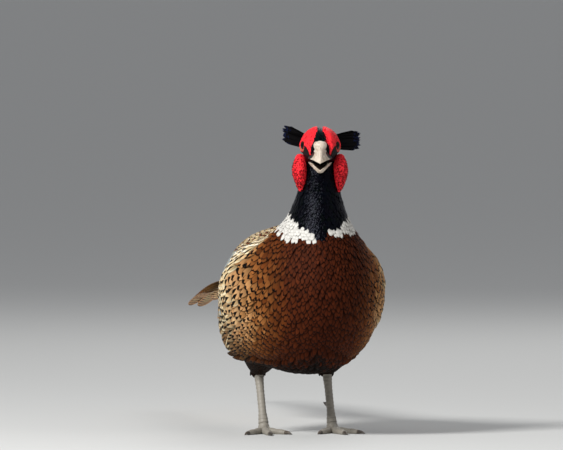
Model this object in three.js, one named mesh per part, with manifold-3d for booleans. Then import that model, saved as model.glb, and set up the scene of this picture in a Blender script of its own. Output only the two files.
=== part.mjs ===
// A cock common pheasant (Phasianus colchicus), life size, standing still with its head turned to the right.
// Millimetres, +Z up. The bird faces -Y, its left side is +X, and it stands on the plane z = 0.
import * as THREE from "three";
import { mergeVertices } from "three/addons/utils/BufferGeometryUtils.js";
import Module from "manifold-3d";

const wasm = await Module();
wasm.setup();

const GAP = 0.3; // between two nodes that touch
const DEG = Math.PI / 180;
const SIDES = { right: -1, left: 1 };

// Driving sizes of the body

// Body and neck are one shape along a bent spine, from inside the head to the root of the tail.
// Each station: y and z of its middle, tilt of the spine in degrees (90 is straight down, 0 straight back),
// half width, depth to the breast side and depth to the back side.
const STATIONS = [
  [-71, 287, 76, 11, 10, 13],
  [-72, 272, 79, 14.5, 17, 16.5],
  [-70, 256, 83, 17.5, 20, 18.5],
  [-67, 242, 85, 20.5, 23, 21.5],
  [-64, 228, 84, 25, 30, 26],
  [-60, 214, 78, 31, 40, 30],
  [-53, 200, 68, 41, 56, 34],
  [-42, 184, 54, 54, 78, 38],
  [-25, 168, 38, 67, 92, 48],
  [-3, 153, 22, 75, 90, 58],
  [22, 144, 10, 76, 79, 64],
  [55, 141, 3, 70, 71, 63],
  [88, 142, 0, 60, 58, 54],
  [118, 144, 1, 49, 44, 42],
  [142, 146, 2, 37, 33, 33],
  [160, 147, 3, 28, 25, 25],
  [184, 145.5, 4, 23, 17, 18],
  [214, 143.5, 4, 20, 12, 12],
];
const NECK_END = 5.8; // station where the neck is parted from the torso
const RUMP_END = 15; // station where the torso is parted from the tail
const STUB_END = 17; // station where the fleshy root of the tail ends
const BODY_AROUND = 26;
// The flanks are fullest over the thighs: the share that they swell by there, the station and the angle
// under the side where that is, and how far it reaches round them, in stations and degrees.
const FLANKS = { swell: 0.26, station: 11.5, angle: -40, stations: 1.4, degrees: 20 };

// Driving sizes of the feathers

const VANE_EDGE = 0.5; // thickness of a feather at its edge
const VANE_SHAFT = 0.9; // and along its shaft
const LAYER = 2; // how far a feather lies over the next one in its row

// The shell of each wing, that its feathers grow from: stations, angles in degrees and thickness
const WING = { start: 7.9, end: 12.2, low: -16, high: 56, thick: 4.5 };
const WING_CLEAR = 1; // from the body's curve to the wing, so that no two faces of them meet

// Each row of wing feathers, from its first to its last one: where the root and the tip lie, as a station
// and an angle, and the half width. lift is the height over the body at the root and at the tip, and
// upperLift the same for the last feather, where the wing lies closer to the back.
const WING_ROWS = [
  {
    // primaries, under the rest
    count: 3,
    first: { root: [11.6, -2], tip: [14.6, 3], halfWidth: 7 },
    last: { root: [11.7, 14], tip: [15.4, 24], halfWidth: 7 },
    lift: [2.4, 2.6],
    layer: 1.5,
    shaft: 0,
  },
  {
    // secondaries
    count: 6,
    first: { root: [10.9, -13], tip: [13.4, -6], halfWidth: 10 },
    last: { root: [11.1, 38], tip: [15, 42], halfWidth: 11 },
    lift: [3.6, 6],
  },
  {
    // tertials
    count: 3,
    first: { root: [10.8, 45], tip: [14.4, 52], halfWidth: 11 },
    last: { root: [10.8, 60], tip: [13.4, 66], halfWidth: 12 },
    lift: [3.6, 6.4],
  },
  {
    // greater coverts
    count: 7,
    first: { root: [9.7, -13], tip: [11.7, -16], halfWidth: 9.5 },
    last: { root: [9.9, 52], tip: [12.2, 57], halfWidth: 11.5 },
    lift: [3.4, 8.6],
    upperLift: [3.4, 7],
    shaft: 0,
  },
  {
    // lesser coverts
    count: 6,
    first: { root: [8.3, -10], tip: [10.2, -15], halfWidth: 9.5 },
    last: { root: [8.4, 50], tip: [10.7, 57], halfWidth: 12 },
    lift: [3.4, 8.8],
    upperLift: [3.4, 7.2],
    shaft: 0,
  },
];

const TAIL_LENGTH = 470; // of the middle feathers
const TAIL_SHORTEST = 0.27; // length of the outermost pair, as a share of it
const TAIL_PAIRS = 9;
const TAIL_DROOP = 5.4 * DEG;
const TAIL_ARCH = 10; // rise of the tail's middle over the line from root to tip
const TAIL_ROOF = 200; // the tail falls to its sides like a roof: distance across, squared, by this
const TAIL_SWAY = 19; // how far the tip is carried to the left
const TAIL_LAYER = 1.3; // from one feather down to the next
const TAIL_HALF_WIDTH = [16, 11]; // of a middle feather and of an outermost one
const TAIL_ASIDE = [2, 9]; // from the middle line to a feather's root, innermost and outermost
const TAIL_SPREAD = [5, 34]; // and to its tip
// All feathers bend at the same places, so that they lie over one another without touching.
const TAIL_BENDS = [0, 60, 130, 215, 300, 375];

// Coverts over and under the root of the tail. Each row: count, where its roots and tips are along
// the tail, their height there, reach to each side and half width.
const TAIL_COVERTS = [
  { count: 4, back: [-6, 100], height: [9.5, 8.6], aside: 13, halfWidth: 9 },
  { count: 5, back: [-12, 56], height: [13.5, 12.4], aside: 15, halfWidth: 9 },
  { count: 4, back: [-10, 70], height: [-12, -12.8], aside: 11, halfWidth: 9 },
];

// Driving sizes of the head. Its frame has the point between the eyes at the origin and the bill towards -Y.

const HEAD_AT = new THREE.Vector3(-1.3, -78, 290);
const HEAD_PITCH = 2 * DEG; // bill held a little down
const HEAD_YAW = -12 * DEG; // turned to the bird's right

// Each station: y, z of the middle, half width, height over it and depth under it
const SKULL = [
  [26, 0, 7, 7, 8],
  [22, 0, 11.5, 11.5, 13],
  [15, 0, 15.2, 15, 17],
  [6, -0.5, 17, 17, 19],
  [-3, -1, 17, 17.2, 20],
  [-11, -1.5, 15, 15.6, 20],
  [-18, -2, 11.5, 12, 17.5],
  [-23, -2.5, 9, 8, 13.5],
];

const EYE = { x: 13, y: -4, z: 0.5, radius: 6.2, forward: 27 * DEG };
const LID = { radius: 5.6, thick: 1.15, out: 4.1 };
const EYE_OPENING = 7.3; // radius of the hole in the red skin

// Each station: y, half width at the cutting edge, height of the ridge, height of the cutting edge
const UPPER_BILL = [
  [-16, 12.2, 7.3, -11.4],
  [-21, 12, 6, -11.8],
  [-27, 10.6, 3.6, -12],
  [-33, 8.9, 0.6, -12.3],
  [-39, 6.9, -3.4, -12.8],
  [-45, 4.5, -8.4, -13.7],
];
const UPPER_TIP = [-51, -15.6];
// Each station: y, half width at the cutting edge, height of the cutting edge, height of the keel
const LOWER_BILL = [
  [-16, 11.8, -15.2, -20],
  [-25, 9.9, -17, -22.2],
  [-33, 7.6, -19.2, -24.2],
  [-40, 4.8, -21.2, -25.2],
];
const LOWER_TIP = [-46, -23.6];

// The comb is swollen red skin round the eye and up to the edge of the crown: its outline from the side
const COMB_SWELL = 2.7;
const COMB_OUTLINE = [
  [-23, -10.5],
  [-20, 5],
  [-12, 14],
  [-4, 22],
  [9, 24],
  [15, 12],
  [15, 1],
  [9, -4.8],
  [-2, -6.6],
  [-14, -8.2],
];
// The dark stripe between the combs, from the front: half width at each height
const STRIPE = [
  [2.7, 30],
  [2.7, 15],
  [5, 5],
  [7.6, -1],
  [8.6, -14],
];

// The wattle is the hanging red cheek, in folds and small bulbs.
const WATTLE = { x: 19.8, y: 1.5, z: -27.5, thick: 7.4, long: 13.5, high: 18.6, bulbs: 0.055, hang: 1.5 };

// Ear tufts: length of each lock as a share, from the top one down, and how far the locks of each side
// point up, and back, for a step outward
const TUFT_LOCKS = [1.02, 0.88, 1.04, 0.93, 0.82];
const TUFT_POSE = {
  right: { up: 0.42, back: 0.45, length: 28 },
  left: { up: 0.14, back: 0.3, length: 29 },
};

// Driving sizes of the legs. Each leg's frame has its origin on the ground under the middle of the foot.

const LEG_APART = 35; // from the middle plane to each foot
const FOOT_Y = 33;
const FOOT_HUB = new THREE.Vector3(0, 0, 8.5);
const ANKLE = new THREE.Vector3(-0.5, 24, 64);
const KNEE = new THREE.Vector3(0, 10, 84);
const THIGH_TOP = new THREE.Vector3(1, -12, 106);
const THIGH_SHARES = [0, 0.3, 0.55, 0.75, 0.9, 1];
const THIGH_RADII = [25, 25, 20.5, 15, 10.4, 6.4];
const SHANK_TOP = 0.93; // share of the way from the hub to the ankle where the feathers start
const SHANK_FOOT = 0.07; // share where the foot starts
const SCUTES = 7;
const SPUR_AT = 0.34; // share of the way from the hub to the ankle
const SPUR_LENGTH = 13.5;

// Each toe: heading in degrees outward from straight ahead, length to the claw, radius at both ends
// and length of the claw
const TOES = [
  { heading: 4, length: 44, radii: [3.9, 2.5], claw: 11 },
  { heading: -33, length: 31, radii: [3.7, 2.4], claw: 9 },
  { heading: 38, length: 34, radii: [3.7, 2.4], claw: 9 },
  { heading: 186, length: 12.5, radii: [2.9, 2.1], claw: 7.5 },
];
const TOE_STEPS = [0, 0.2, 0.4, 0.6, 0.8, 1];
const SOLE = 0.7; // how much of a toe's underside is pressed flat

// Numbers

const mix = (a, b, s) => a + (b - a) * s;

function smooth(x) {
  const c = Math.min(1, Math.max(0, x));
  return c * c * (3 - 2 * c);
}

// One column of a table at a place between its rows, by Catmull-Rom
function between(table, column, t) {
  const i = Math.min(Math.max(Math.floor(t), 0), table.length - 2);
  const u = t - i;
  const row = (k) => table[Math.min(Math.max(k, 0), table.length - 1)][column];
  const [p, q, r, s] = [row(i - 1), row(i), row(i + 1), row(i + 2)];
  return q + 0.5 * u * (r - p + u * (2 * p - 5 * q + 4 * r - s + u * (3 * (q - r) + s - p)));
}

// Solids

function solid(geometry) {
  const bare = geometry.index ? geometry.toNonIndexed() : geometry.clone();
  bare.deleteAttribute("normal");
  bare.deleteAttribute("uv");
  const merged = mergeVertices(bare, 1e-4);
  return new wasm.Manifold(
    new wasm.Mesh({
      numProp: 3,
      vertProperties: merged.attributes.position.array,
      triVerts: new Uint32Array(merged.index.array),
    }),
  );
}

function largest(made) {
  return made.decompose().reduce((a, b) => (a.volume() > b.volume() ? a : b));
}

function joined(solids) {
  return wasm.Manifold.union(solids);
}

function geometryOf(made) {
  const mesh = made.getMesh();
  const geometry = new THREE.BufferGeometry();
  geometry.setAttribute("position", new THREE.BufferAttribute(mesh.vertProperties, 3));
  geometry.setIndex(new THREE.BufferAttribute(mesh.triVerts, 1));
  return geometry;
}

// A closed skin over rings of points. Each end closes on a point: the ring's own middle unless one is given.
// The rings of a bent plate are strips, and its ends close from the strip's one side to the other instead.
function loft(rings, ends = {}) {
  const around = rings[0].length;
  const middle = (ring) => ring.reduce((sum, p) => sum.add(p), new THREE.Vector3()).divideScalar(around);
  const points = rings.flat();
  const faces = [];
  for (let r = 0; r + 1 < rings.length; r++)
    for (let k = 0; k < around; k++) {
      const [a, b] = [r * around + k, r * around + ((k + 1) % around)];
      const [c, d] = [a + around, b + around];
      // The second half is split the other way, so that both faces of a thin vane are split alike.
      if (k < around / 2) faces.push(a, b, d, a, d, c);
      else faces.push(a, b, c, b, d, c);
    }
  const lastRing = (rings.length - 1) * around;
  if (ends.strip) {
    for (let k = 0; k + 1 < around / 2; k++) {
      const over = around - 1 - k;
      faces.push(k + 1, k, over, k + 1, over, over - 1);
      faces.push(lastRing + k, lastRing + k + 1, lastRing + over - 1);
      faces.push(lastRing + k, lastRing + over - 1, lastRing + over);
    }
  } else {
    const first = points.push(ends.first ?? middle(rings[0])) - 1;
    const last = points.push(ends.last ?? middle(rings.at(-1))) - 1;
    for (let k = 0; k < around; k++) {
      const next = (k + 1) % around;
      faces.push(first, next, k, last, lastRing + k, lastRing + next);
    }
  }
  let volume = 0;
  for (let i = 0; i < faces.length; i += 3) {
    const [p, q, r] = [points[faces[i]], points[faces[i + 1]], points[faces[i + 2]]];
    volume += p.dot(q.clone().cross(r));
  }
  if (volume < 0) faces.reverse();
  const geometry = new THREE.BufferGeometry().setFromPoints(points);
  geometry.setIndex(faces);
  return geometry;
}

// A tapering rod through points, with a radius at each
function rod(points, radii, sides, ends = {}) {
  const rings = points.map((middle, i) => {
    const next = points[Math.min(i + 1, points.length - 1)];
    const along = next.clone().sub(points[Math.max(i - 1, 0)]).normalize();
    const across = new THREE.Vector3(1, 0, 0).cross(along).normalize();
    const other = along.clone().cross(across);
    return Array.from({ length: sides }, (_, k) => {
      const angle = (2 * Math.PI * k) / sides;
      return middle
        .clone()
        .addScaledVector(across, radii[i] * Math.cos(angle))
        .addScaledVector(other, radii[i] * Math.sin(angle));
    });
  });
  return solid(loft(rings, ends));
}

// A ball stretched along each axis, turned about x and put at a place
function egg(size, segments, turn, x, y, z) {
  const ball = new THREE.SphereGeometry(1, ...segments).scale(...size);
  return solid(ball.rotateX(turn).translate(x, y, z));
}

// Body

function bodyFrame(t) {
  const [y, z, tilt, width, breast, back] = [0, 1, 2, 3, 4, 5].map((c) => between(STATIONS, c, t));
  const along = new THREE.Vector3(0, Math.cos(tilt * DEG), -Math.sin(tilt * DEG));
  const backward = new THREE.Vector3(0, Math.sin(tilt * DEG), Math.cos(tilt * DEG));
  return { middle: new THREE.Vector3(0, y, z), along, backward, width, breast, back };
}

function flankSwell(t, angle) {
  const up = Math.atan2(Math.sin(angle), Math.abs(Math.cos(angle))) / DEG;
  const far = Math.hypot((t - FLANKS.station) / FLANKS.stations, (up - FLANKS.angle) / FLANKS.degrees);
  return 1 + FLANKS.swell * Math.exp(-(far ** 2));
}

// A point of the body's surface: t is the station, angle 0 the side and 90 degrees the middle of the back.
function onBody(side, t, angle, lift = 0) {
  const f = bodyFrame(t);
  const swell = flankSwell(t, angle);
  const depth = Math.sin(angle) >= 0 ? f.back : f.breast;
  return f.middle
    .clone()
    .addScaledVector(f.backward, (depth * swell + lift) * Math.sin(angle))
    .setX(side * (f.width * swell + lift) * Math.cos(angle));
}

// The body between two stations, lifted outward, with its ends moved along the spine
function bodyPiece(from, to, count, { lift = 0, startShift = 0, endShift = 0 } = {}) {
  const rings = Array.from({ length: count + 1 }, (_, i) => {
    const t = mix(from, to, i / count);
    const shift = i === 0 ? startShift : i === count ? endShift : 0;
    const { along } = bodyFrame(t);
    return Array.from({ length: BODY_AROUND }, (_, k) =>
      onBody(1, t, (2 * Math.PI * k) / BODY_AROUND - Math.PI / 2, lift).addScaledVector(along, shift),
    );
  });
  return solid(loft(rings));
}

const torso = bodyPiece(NECK_END, RUMP_END, 20, { startShift: GAP / 2, endShift: -GAP / 2 });
const torsoRoom = bodyPiece(NECK_END - 0.1, RUMP_END + 0.1, 20, { lift: GAP });
const neckWhole = bodyPiece(0, NECK_END, 10, { endShift: -GAP / 2 });
const neckRoom = bodyPiece(0, NECK_END + 0.1, 10, { lift: GAP, startShift: -GAP });
const tailStub = bodyPiece(RUMP_END, STUB_END, 4, { startShift: GAP / 2 });

// Feathers

// A vane through rings at the given shares of its length. place(s, across, height) gives a point of it.
// Without a shaft it is a flat blade.
function vane({ place, halfWidth, shape, steps, shaft = VANE_SHAFT, edge = VANE_EDGE }) {
  const rings = steps.map((s) => {
    const w = halfWidth * shape(s);
    const taper = s > 0.9 ? 0.6 : 1;
    const [m, e] = [(shaft / 2) * taper, (edge / 2) * taper];
    const top = shaft ? [place(s, 0, m)] : [];
    const under = shaft ? [place(s, 0, -m)] : [];
    return [place(s, -w, e), ...top, place(s, w, e), place(s, w, -e), ...under, place(s, -w, -e)];
  });
  return solid(loft(rings, { last: place(1, 0, 0) }));
}

const ROUND_STEPS = [0, 0.4, 0.78, 0.96];

function roundTip(s) {
  if (s < 0.6) return mix(0.6, 1, smooth(s / 0.55));
  return Math.sqrt(1 - ((s - 0.6) / 0.43) ** 2);
}

// A vane that lies on the body between two places of it, each a station and an angle in degrees.
// slope(s) is how much its upper edge is tucked under the next one, per millimetre across.
function bodyVane({ side, root, tip, halfWidth, lift, slope, shaft }) {
  const at = (s) => [mix(root[0], tip[0], s), mix(root[1], tip[1], s) * DEG];
  const place = (s, across, height) => {
    const [t, a] = at(s);
    const [tBefore, aBefore] = at(s - 0.01);
    const step = 0.02;
    const perT = onBody(side, t + step, a).distanceTo(onBody(side, t - step, a)) / (2 * step);
    const perA = onBody(side, t, a + step).distanceTo(onBody(side, t, a - step)) / (2 * step);
    const heading = new THREE.Vector2((t - tBefore) * perT, (a - aBefore) * perA).normalize();
    const out = mix(lift[0], lift[1], smooth(s * 1.1)) - slope(s) * across + height;
    return onBody(side, t - (heading.y * across) / perT, a + (heading.x * across) / perA, out);
  };
  return vane({ place, halfWidth, shape: roundTip, steps: ROUND_STEPS, shaft });
}

// A row of vanes, spread evenly between a first and a last one, each with its upper edge under the next
function featherRow(side, { count, first, last, layer = LAYER, lift, upperLift = lift, shaft }) {
  const blend = (key, s) => first[key].map((v, k) => mix(v, last[key][k], s));
  const apart = (key) => {
    const [p, q] = [blend(key, 0), blend(key, 1)].map(([t, a]) => onBody(1, t, a * DEG));
    return p.distanceTo(q) / (count - 1);
  };
  const [apartAtRoot, apartAtTip] = [apart("root"), apart("tip")];
  const slope = (s) => layer / mix(apartAtRoot, apartAtTip, s);
  return Array.from({ length: count }, (_, i) => {
    const s = i / (count - 1);
    const halfWidth = mix(first.halfWidth, last.halfWidth, s);
    const ends = { root: blend("root", s), tip: blend("tip", s) };
    const height = lift.map((v, k) => mix(v, upperLift[k], s));
    return bodyVane({ side, ...ends, halfWidth, lift: height, slope, shaft });
  });
}

// Wings

function wingShell(side) {
  const [rows, across] = [7, 6];
  const rings = Array.from({ length: rows + 1 }, (_, r) => {
    const s = r / rows;
    const t = mix(WING.start, WING.end, s);
    const open = Math.sqrt(Math.sin(Math.PI * mix(0.06, 0.93, s)));
    const middle = (WING.low + WING.high) / 2;
    const half = ((WING.high - WING.low) / 2) * mix(0.55, 1, open);
    const outer = [];
    const inner = [];
    for (let k = 0; k <= across; k++) {
      const c = (2 * k) / across - 1;
      const rise = WING.thick * open * Math.sqrt(Math.max(0, 1 - (c * 0.96) ** 2));
      const angle = (middle + half * c) * DEG;
      outer.push(onBody(side, t, angle, WING_CLEAR + 0.2 + rise));
      inner.unshift(onBody(side, t, angle, WING_CLEAR));
    }
    return [...outer, ...inner];
  });
  return solid(loft(rings, { strip: true }));
}

function wing(side) {
  return largest(joined([wingShell(side), ...WING_ROWS.flatMap((row) => featherRow(side, row))]));
}

// Tail

const TAIL_ROOT = bodyFrame(RUMP_END + 0.6).middle;

// A point of the tail: distance back along it, distance across, and height over the roof's ridge
function onTail(back, across, height) {
  const share = Math.max(0, back / TAIL_LENGTH);
  const fall = (across * across) / TAIL_ROOF + back * Math.sin(TAIL_DROOP);
  const rise = 4 * TAIL_ARCH * share * (1 - share);
  return new THREE.Vector3(
    across + TAIL_SWAY * share ** 1.5,
    TAIL_ROOT.y + back * Math.cos(TAIL_DROOP),
    TAIL_ROOT.z + height + rise - fall,
  );
}

// Narrow at the root, widest at a quarter of its length, then ever narrower to a point
function tailShape(s) {
  return mix(0.4, 1, smooth(s / 0.25)) * mix(1, 0.45, smooth((s - 0.3) / 0.6)) * (s > 0.95 ? 0.6 : 1);
}

function tailFeather(pair, side) {
  const share = pair / (TAIL_PAIRS - 1);
  const length = TAIL_LENGTH * mix(1, TAIL_SHORTEST, share ** 0.75);
  const bends = TAIL_BENDS.filter((back) => back < length * 0.85).map((back) => back / length);
  // The inner pairs cross the middle, so each of their feathers has a layer of its own.
  const inner = pair < 3;
  const layer = inner ? 2 * pair + (side > 0 ? 1 : 0) : pair + 3;
  const place = (s, across, height) => {
    const aside = mix(mix(...TAIL_ASIDE, share), mix(...TAIL_SPREAD, share), smooth(s * 1.15));
    return onTail(length * s, side * aside + across, height + TAIL_LAYER * (4.5 - layer));
  };
  return vane({
    place,
    halfWidth: mix(...TAIL_HALF_WIDTH, share),
    shape: tailShape,
    steps: [...bends, 0.89, 0.97],
    shaft: inner ? VANE_SHAFT : 0,
  });
}

function tailCoverts({ count, back, height, aside, halfWidth }) {
  const slope = (LAYER * (count - 1)) / (2 * aside);
  return Array.from({ length: count }, (_, i) => {
    const off = (2 * i) / (count - 1) - 1;
    const length = back[1] * (1 - 0.18 * off * off);
    const place = (s, across, thick) =>
      onTail(
        mix(back[0], length, s),
        aside * off * mix(0.75, 1, s) + across,
        mix(height[0], height[1], s) - slope * across + thick,
      );
    return vane({ place, halfWidth, shape: roundTip, steps: ROUND_STEPS, shaft: 0 });
  });
}

function tail() {
  const feathers = [];
  for (let pair = 0; pair < TAIL_PAIRS; pair++)
    for (const side of [-1, 1]) feathers.push(tailFeather(pair, side));
  return largest(joined([tailStub, ...feathers, ...TAIL_COVERTS.flatMap(tailCoverts)]));
}

// Head

const headPlace = new THREE.Matrix4().compose(
  HEAD_AT,
  new THREE.Quaternion().setFromEuler(new THREE.Euler(HEAD_PITCH, 0, HEAD_YAW, "ZYX")),
  new THREE.Vector3(1, 1, 1),
);
const neckInHead = neckRoom.transform(headPlace.clone().invert().elements);

function skull(lift = 0) {
  const [count, around] = [10, 20];
  const rings = Array.from({ length: count + 1 }, (_, i) => {
    const t = ((SKULL.length - 1) * i) / count;
    const [y, z, width, over, under] = [0, 1, 2, 3, 4].map((c) => between(SKULL, c, t));
    return Array.from({ length: around }, (_, k) => {
      const angle = (2 * Math.PI * k) / around;
      const height = Math.sin(angle) >= 0 ? over : under;
      return new THREE.Vector3((width + lift) * Math.cos(angle), y, z + (height + lift) * Math.sin(angle));
    });
  });
  const first = new THREE.Vector3(0, SKULL[0][0] + 3 + lift, SKULL[0][1]);
  const last = new THREE.Vector3(0, SKULL.at(-1)[0] - lift, SKULL.at(-1)[1]);
  return solid(loft(rings, { first, last }));
}

// Puts a geometry made about the origin, looking along x, at an eye
function atEye(geometry, side) {
  return solid(geometry.rotateZ(side * -EYE.forward).translate(side * EYE.x, EYE.y, EYE.z));
}

function eyeball(side, more = 0) {
  return atEye(new THREE.SphereGeometry(EYE.radius + more, 12, 8).rotateX(Math.PI / 2), side);
}

function eyelids(side) {
  const ring = new THREE.TorusGeometry(LID.radius, LID.thick, 5, 12).scale(1.05, 0.92, 1);
  return atEye(ring.rotateY(Math.PI / 2).translate(side * LID.out, 0, 0), side);
}

function headWhole() {
  let made = joined([skull(), eyelids(-1), eyelids(1)]);
  for (const side of [-1, 1]) made = made.subtract(eyeball(side, GAP));
  return largest(made);
}

// The comb as a whole block, grown by some room, before anything is cut out of it
function combBlock(side, room = 0) {
  const grow = 1 + room / 10;
  const outline = new THREE.Shape(COMB_OUTLINE.map(([y, z]) => new THREE.Vector2(y * grow, z * grow)));
  const block = new THREE.ExtrudeGeometry(outline, { depth: 30, bevelEnabled: false, steps: 1 });
  // The shape's x, y and depth become the head's y, z and x.
  const turn = new THREE.Matrix4().set(0, 0, 1, 1, 1, 0, 0, 0, 0, 1, 0, 0, 0, 0, 0, 1);
  const cutter = solid(block.applyMatrix4(turn));
  return skull(COMB_SWELL + room).intersect(side < 0 ? cutter.mirror([1, 0, 0]) : cutter);
}

function stripe() {
  const right = STRIPE.map(([x, z]) => new THREE.Vector2(x, z));
  const left = STRIPE.map(([x, z]) => new THREE.Vector2(-x, z)).reverse();
  const outline = new THREE.Shape([...right, ...left]);
  const block = new THREE.ExtrudeGeometry(outline, { depth: 80, bevelEnabled: false, steps: 1 });
  return solid(block.rotateX(Math.PI / 2).translate(0, 40, 0));
}

function comb(side) {
  const tube = new THREE.CylinderGeometry(EYE_OPENING, EYE_OPENING, 30, 14).rotateZ(Math.PI / 2);
  const hole = atEye(tube.translate(side * 15, 0, 0), side);
  return largest(combBlock(side).subtract(joined([skull(GAP), stripe(), hole, beak(GAP)])));
}

function wattle(side) {
  const ball = new THREE.SphereGeometry(1, 18, 14).rotateX(Math.PI / 2);
  const place = ball.attributes.position;
  for (let i = 0; i < place.count; i++) {
    const p = new THREE.Vector3().fromBufferAttribute(place, i);
    const bulbs = 1 + WATTLE.bulbs * Math.sin(7.5 * p.y + 1) * Math.sin(8.5 * p.z + 1.5 * p.y);
    const fold = 1 - 0.16 * Math.exp(-(((p.y - 0.25) / 0.18) ** 2)) * smooth((0.5 - p.z) / 1.2);
    // Fuller at the top than at the hanging tip, which leans in to the neck
    const taper = mix(0.76, 1.05, smooth((p.z + 1) / 1.3));
    const lean = WATTLE.hang * Math.min(0, p.z);
    place.setXYZ(
      i,
      side * (WATTLE.x + lean) + p.x * WATTLE.thick * bulbs * fold * taper,
      WATTLE.y + p.y * WATTLE.long * bulbs * taper,
      WATTLE.z + p.z * WATTLE.high * bulbs,
    );
  }
  return largest(solid(ball).subtract(joined([skull(GAP), neckInHead, combBlock(side, GAP)])));
}

function earTuft(name) {
  const side = SIDES[name];
  const pose = TUFT_POSE[name];
  const locks = TUFT_LOCKS.map((share, i) => {
    const s = i / (TUFT_LOCKS.length - 1);
    const length = pose.length * share;
    const start = new THREE.Vector3(side * 13, mix(16, 13, s), mix(7.5, -1.5, s));
    const heading = new THREE.Vector3(side, pose.back, pose.up - 0.26 * s).normalize();
    const upright = new THREE.Vector3(0, -0.1, 1);
    const across = upright.addScaledVector(heading, -upright.dot(heading)).normalize();
    const up = heading.clone().cross(across).multiplyScalar(-side);
    // Each lock is tilted, so that its lower edge lies over the next one.
    const place = (along, aside, height) =>
      start
        .clone()
        .addScaledVector(heading, length * along)
        .addScaledVector(across, aside)
        .addScaledVector(up, height + 0.33 * aside + 2.5 * along * along);
    const shape = (along) => mix(0.7, 1, smooth(along / 0.6)) * (along > 0.9 ? 0.6 : 1);
    return vane({ place, halfWidth: 2.8, shape, steps: [0, 0.45, 0.8, 0.95], shaft: 0, edge: 0.7 });
  });
  const pad = egg([5, 5, 8], [8, 6], 0, side * 13, 15, 2.5);
  return largest(joined([...locks, pad]).subtract(joined([skull(GAP), combBlock(side, GAP)])));
}

// A closed ring at y, from the right cutting edge over the given points to the left one and back
function billRing(y, section, inside) {
  const mirror = section.slice(0, -1).reverse();
  return [
    ...section.map(([x, z]) => new THREE.Vector3(x, y, z)),
    ...mirror.map(([x, z]) => new THREE.Vector3(-x, y, z)),
    new THREE.Vector3(0, y, inside),
  ];
}

function beak(more = 0) {
  const rings = UPPER_BILL.map(([y, halfWidth, ridge, edge]) => {
    const half = halfWidth + more;
    const low = edge - more;
    const rise = ridge + more - low;
    const section = [
      [half, low],
      [half * 0.88, low + rise * 0.16],
      [half * 0.5, low + rise * 0.56],
      [half * 0.28, low + rise * 0.88],
      [0, low + rise],
    ];
    return billRing(y, section, low + 1.2);
  });
  return solid(loft(rings, { last: new THREE.Vector3(0, ...UPPER_TIP) }));
}

// The soft flaps over the nostrils stand out at the base, with a slit under each.
function upperBill() {
  const flaps = [-1, 1].map((side) => egg([3.2, 5.6, 3.4], [10, 7], 0.45, side * 3.6, -26, 1.6));
  const slits = [-1, 1].map((side) => egg([2.4, 3.2, 0.8], [8, 6], 0.35, side * 6.9, -27.5, -1.2));
  const bridge = egg([3.4, 5.2, 3.2], [6, 6], 0, 0, -24.6, 2.8);
  return largest(joined([beak(), bridge, ...flaps]).subtract(joined([...slits, skull(GAP)])));
}

function lowerBill() {
  const rings = LOWER_BILL.map(([y, half, edge, keel]) => {
    const deep = edge - keel;
    const section = [
      [half, edge],
      [half * 0.86, edge - deep * 0.55],
      [half * 0.45, edge - deep * 0.95],
      [0, keel],
    ];
    return billRing(y, section, edge - deep * 0.3);
  });
  const jaw = solid(loft(rings, { last: new THREE.Vector3(0, ...LOWER_TIP) }));
  return largest(jaw.subtract(joined([skull(GAP), neckInHead])));
}

// Legs

const ground = solid(new THREE.BoxGeometry(200, 200, 20).translate(0, 0, -10));

function thigh(more = 0) {
  const path = new THREE.QuadraticBezierCurve3(THIGH_TOP, KNEE, ANKLE.clone().setZ(ANKLE.z - 2));
  const points = THIGH_SHARES.map((s) => path.getPoint(s));
  const last = path.getPoint(1).addScaledVector(path.getTangent(1), more);
  return rod(points, THIGH_RADII.map((radius) => radius + more), 14, { last });
}

// The shank is covered with plates, each of which stands a little proud at its lower edge.
function shank(more = 0) {
  const points = [];
  const radii = [];
  for (let i = 0; i < SCUTES; i++)
    for (const [s, proud] of [
      [0.02, 0],
      [0.9, 0.45],
    ]) {
      const share = (i + s) / SCUTES;
      points.push(FOOT_HUB.clone().lerp(ANKLE, mix(SHANK_TOP, SHANK_FOOT, share)));
      const waist = mix(4.6, 3.5, smooth(share * 2.2)) + 0.9 * smooth((share - 0.7) / 0.3);
      radii.push(waist + proud + more);
    }
  return rod(points, radii, 8);
}

function spurLine(side, s) {
  const bend = new THREE.Vector3(-side * 3.8 * s, SPUR_LENGTH * s, 2.6 * s * s);
  return FOOT_HUB.clone().lerp(ANKLE, SPUR_AT).add(bend);
}

function spur(side) {
  const points = [0.1, 0.5, 0.82].map((s) => spurLine(side, s));
  return largest(rod(points, [2.7, 2, 1.1], 8, { last: spurLine(side, 1) }).subtract(shank(GAP)));
}

function toeLine(toe, side) {
  const angle = toe.heading * DEG;
  return new THREE.Vector3(side * Math.sin(angle), -Math.cos(angle), 0);
}

function toeRod(toe, side, more = 0) {
  const line = toeLine(toe, side);
  const points = [];
  const radii = [];
  for (const s of TOE_STEPS) {
    const radius = mix(...toe.radii, s);
    const height = mix(FOOT_HUB.z - 2, radius - SOLE, smooth(s / 0.28));
    points.push(line.clone().multiplyScalar(toe.length * s).setZ(height));
    // Pads under the joints make the toe thicker there.
    radii.push(radius * (1 + 0.09 * Math.cos(s * 5 * Math.PI)) + more);
  }
  const last = points.at(-1).clone().addScaledVector(line, more);
  return rod(points, radii, 7, { last });
}

function foot(side) {
  const top = FOOT_HUB.clone().lerp(ANKLE, SHANK_FOOT + 0.012);
  top.addScaledVector(ANKLE.clone().sub(FOOT_HUB).normalize(), -GAP);
  const hub = rod([top, FOOT_HUB, new THREE.Vector3(0, -1, 3)], [4.5, 5.4, 4.6], 10);
  return largest(joined([hub, ...TOES.map((toe) => toeRod(toe, side))]).subtract(ground));
}

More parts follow.
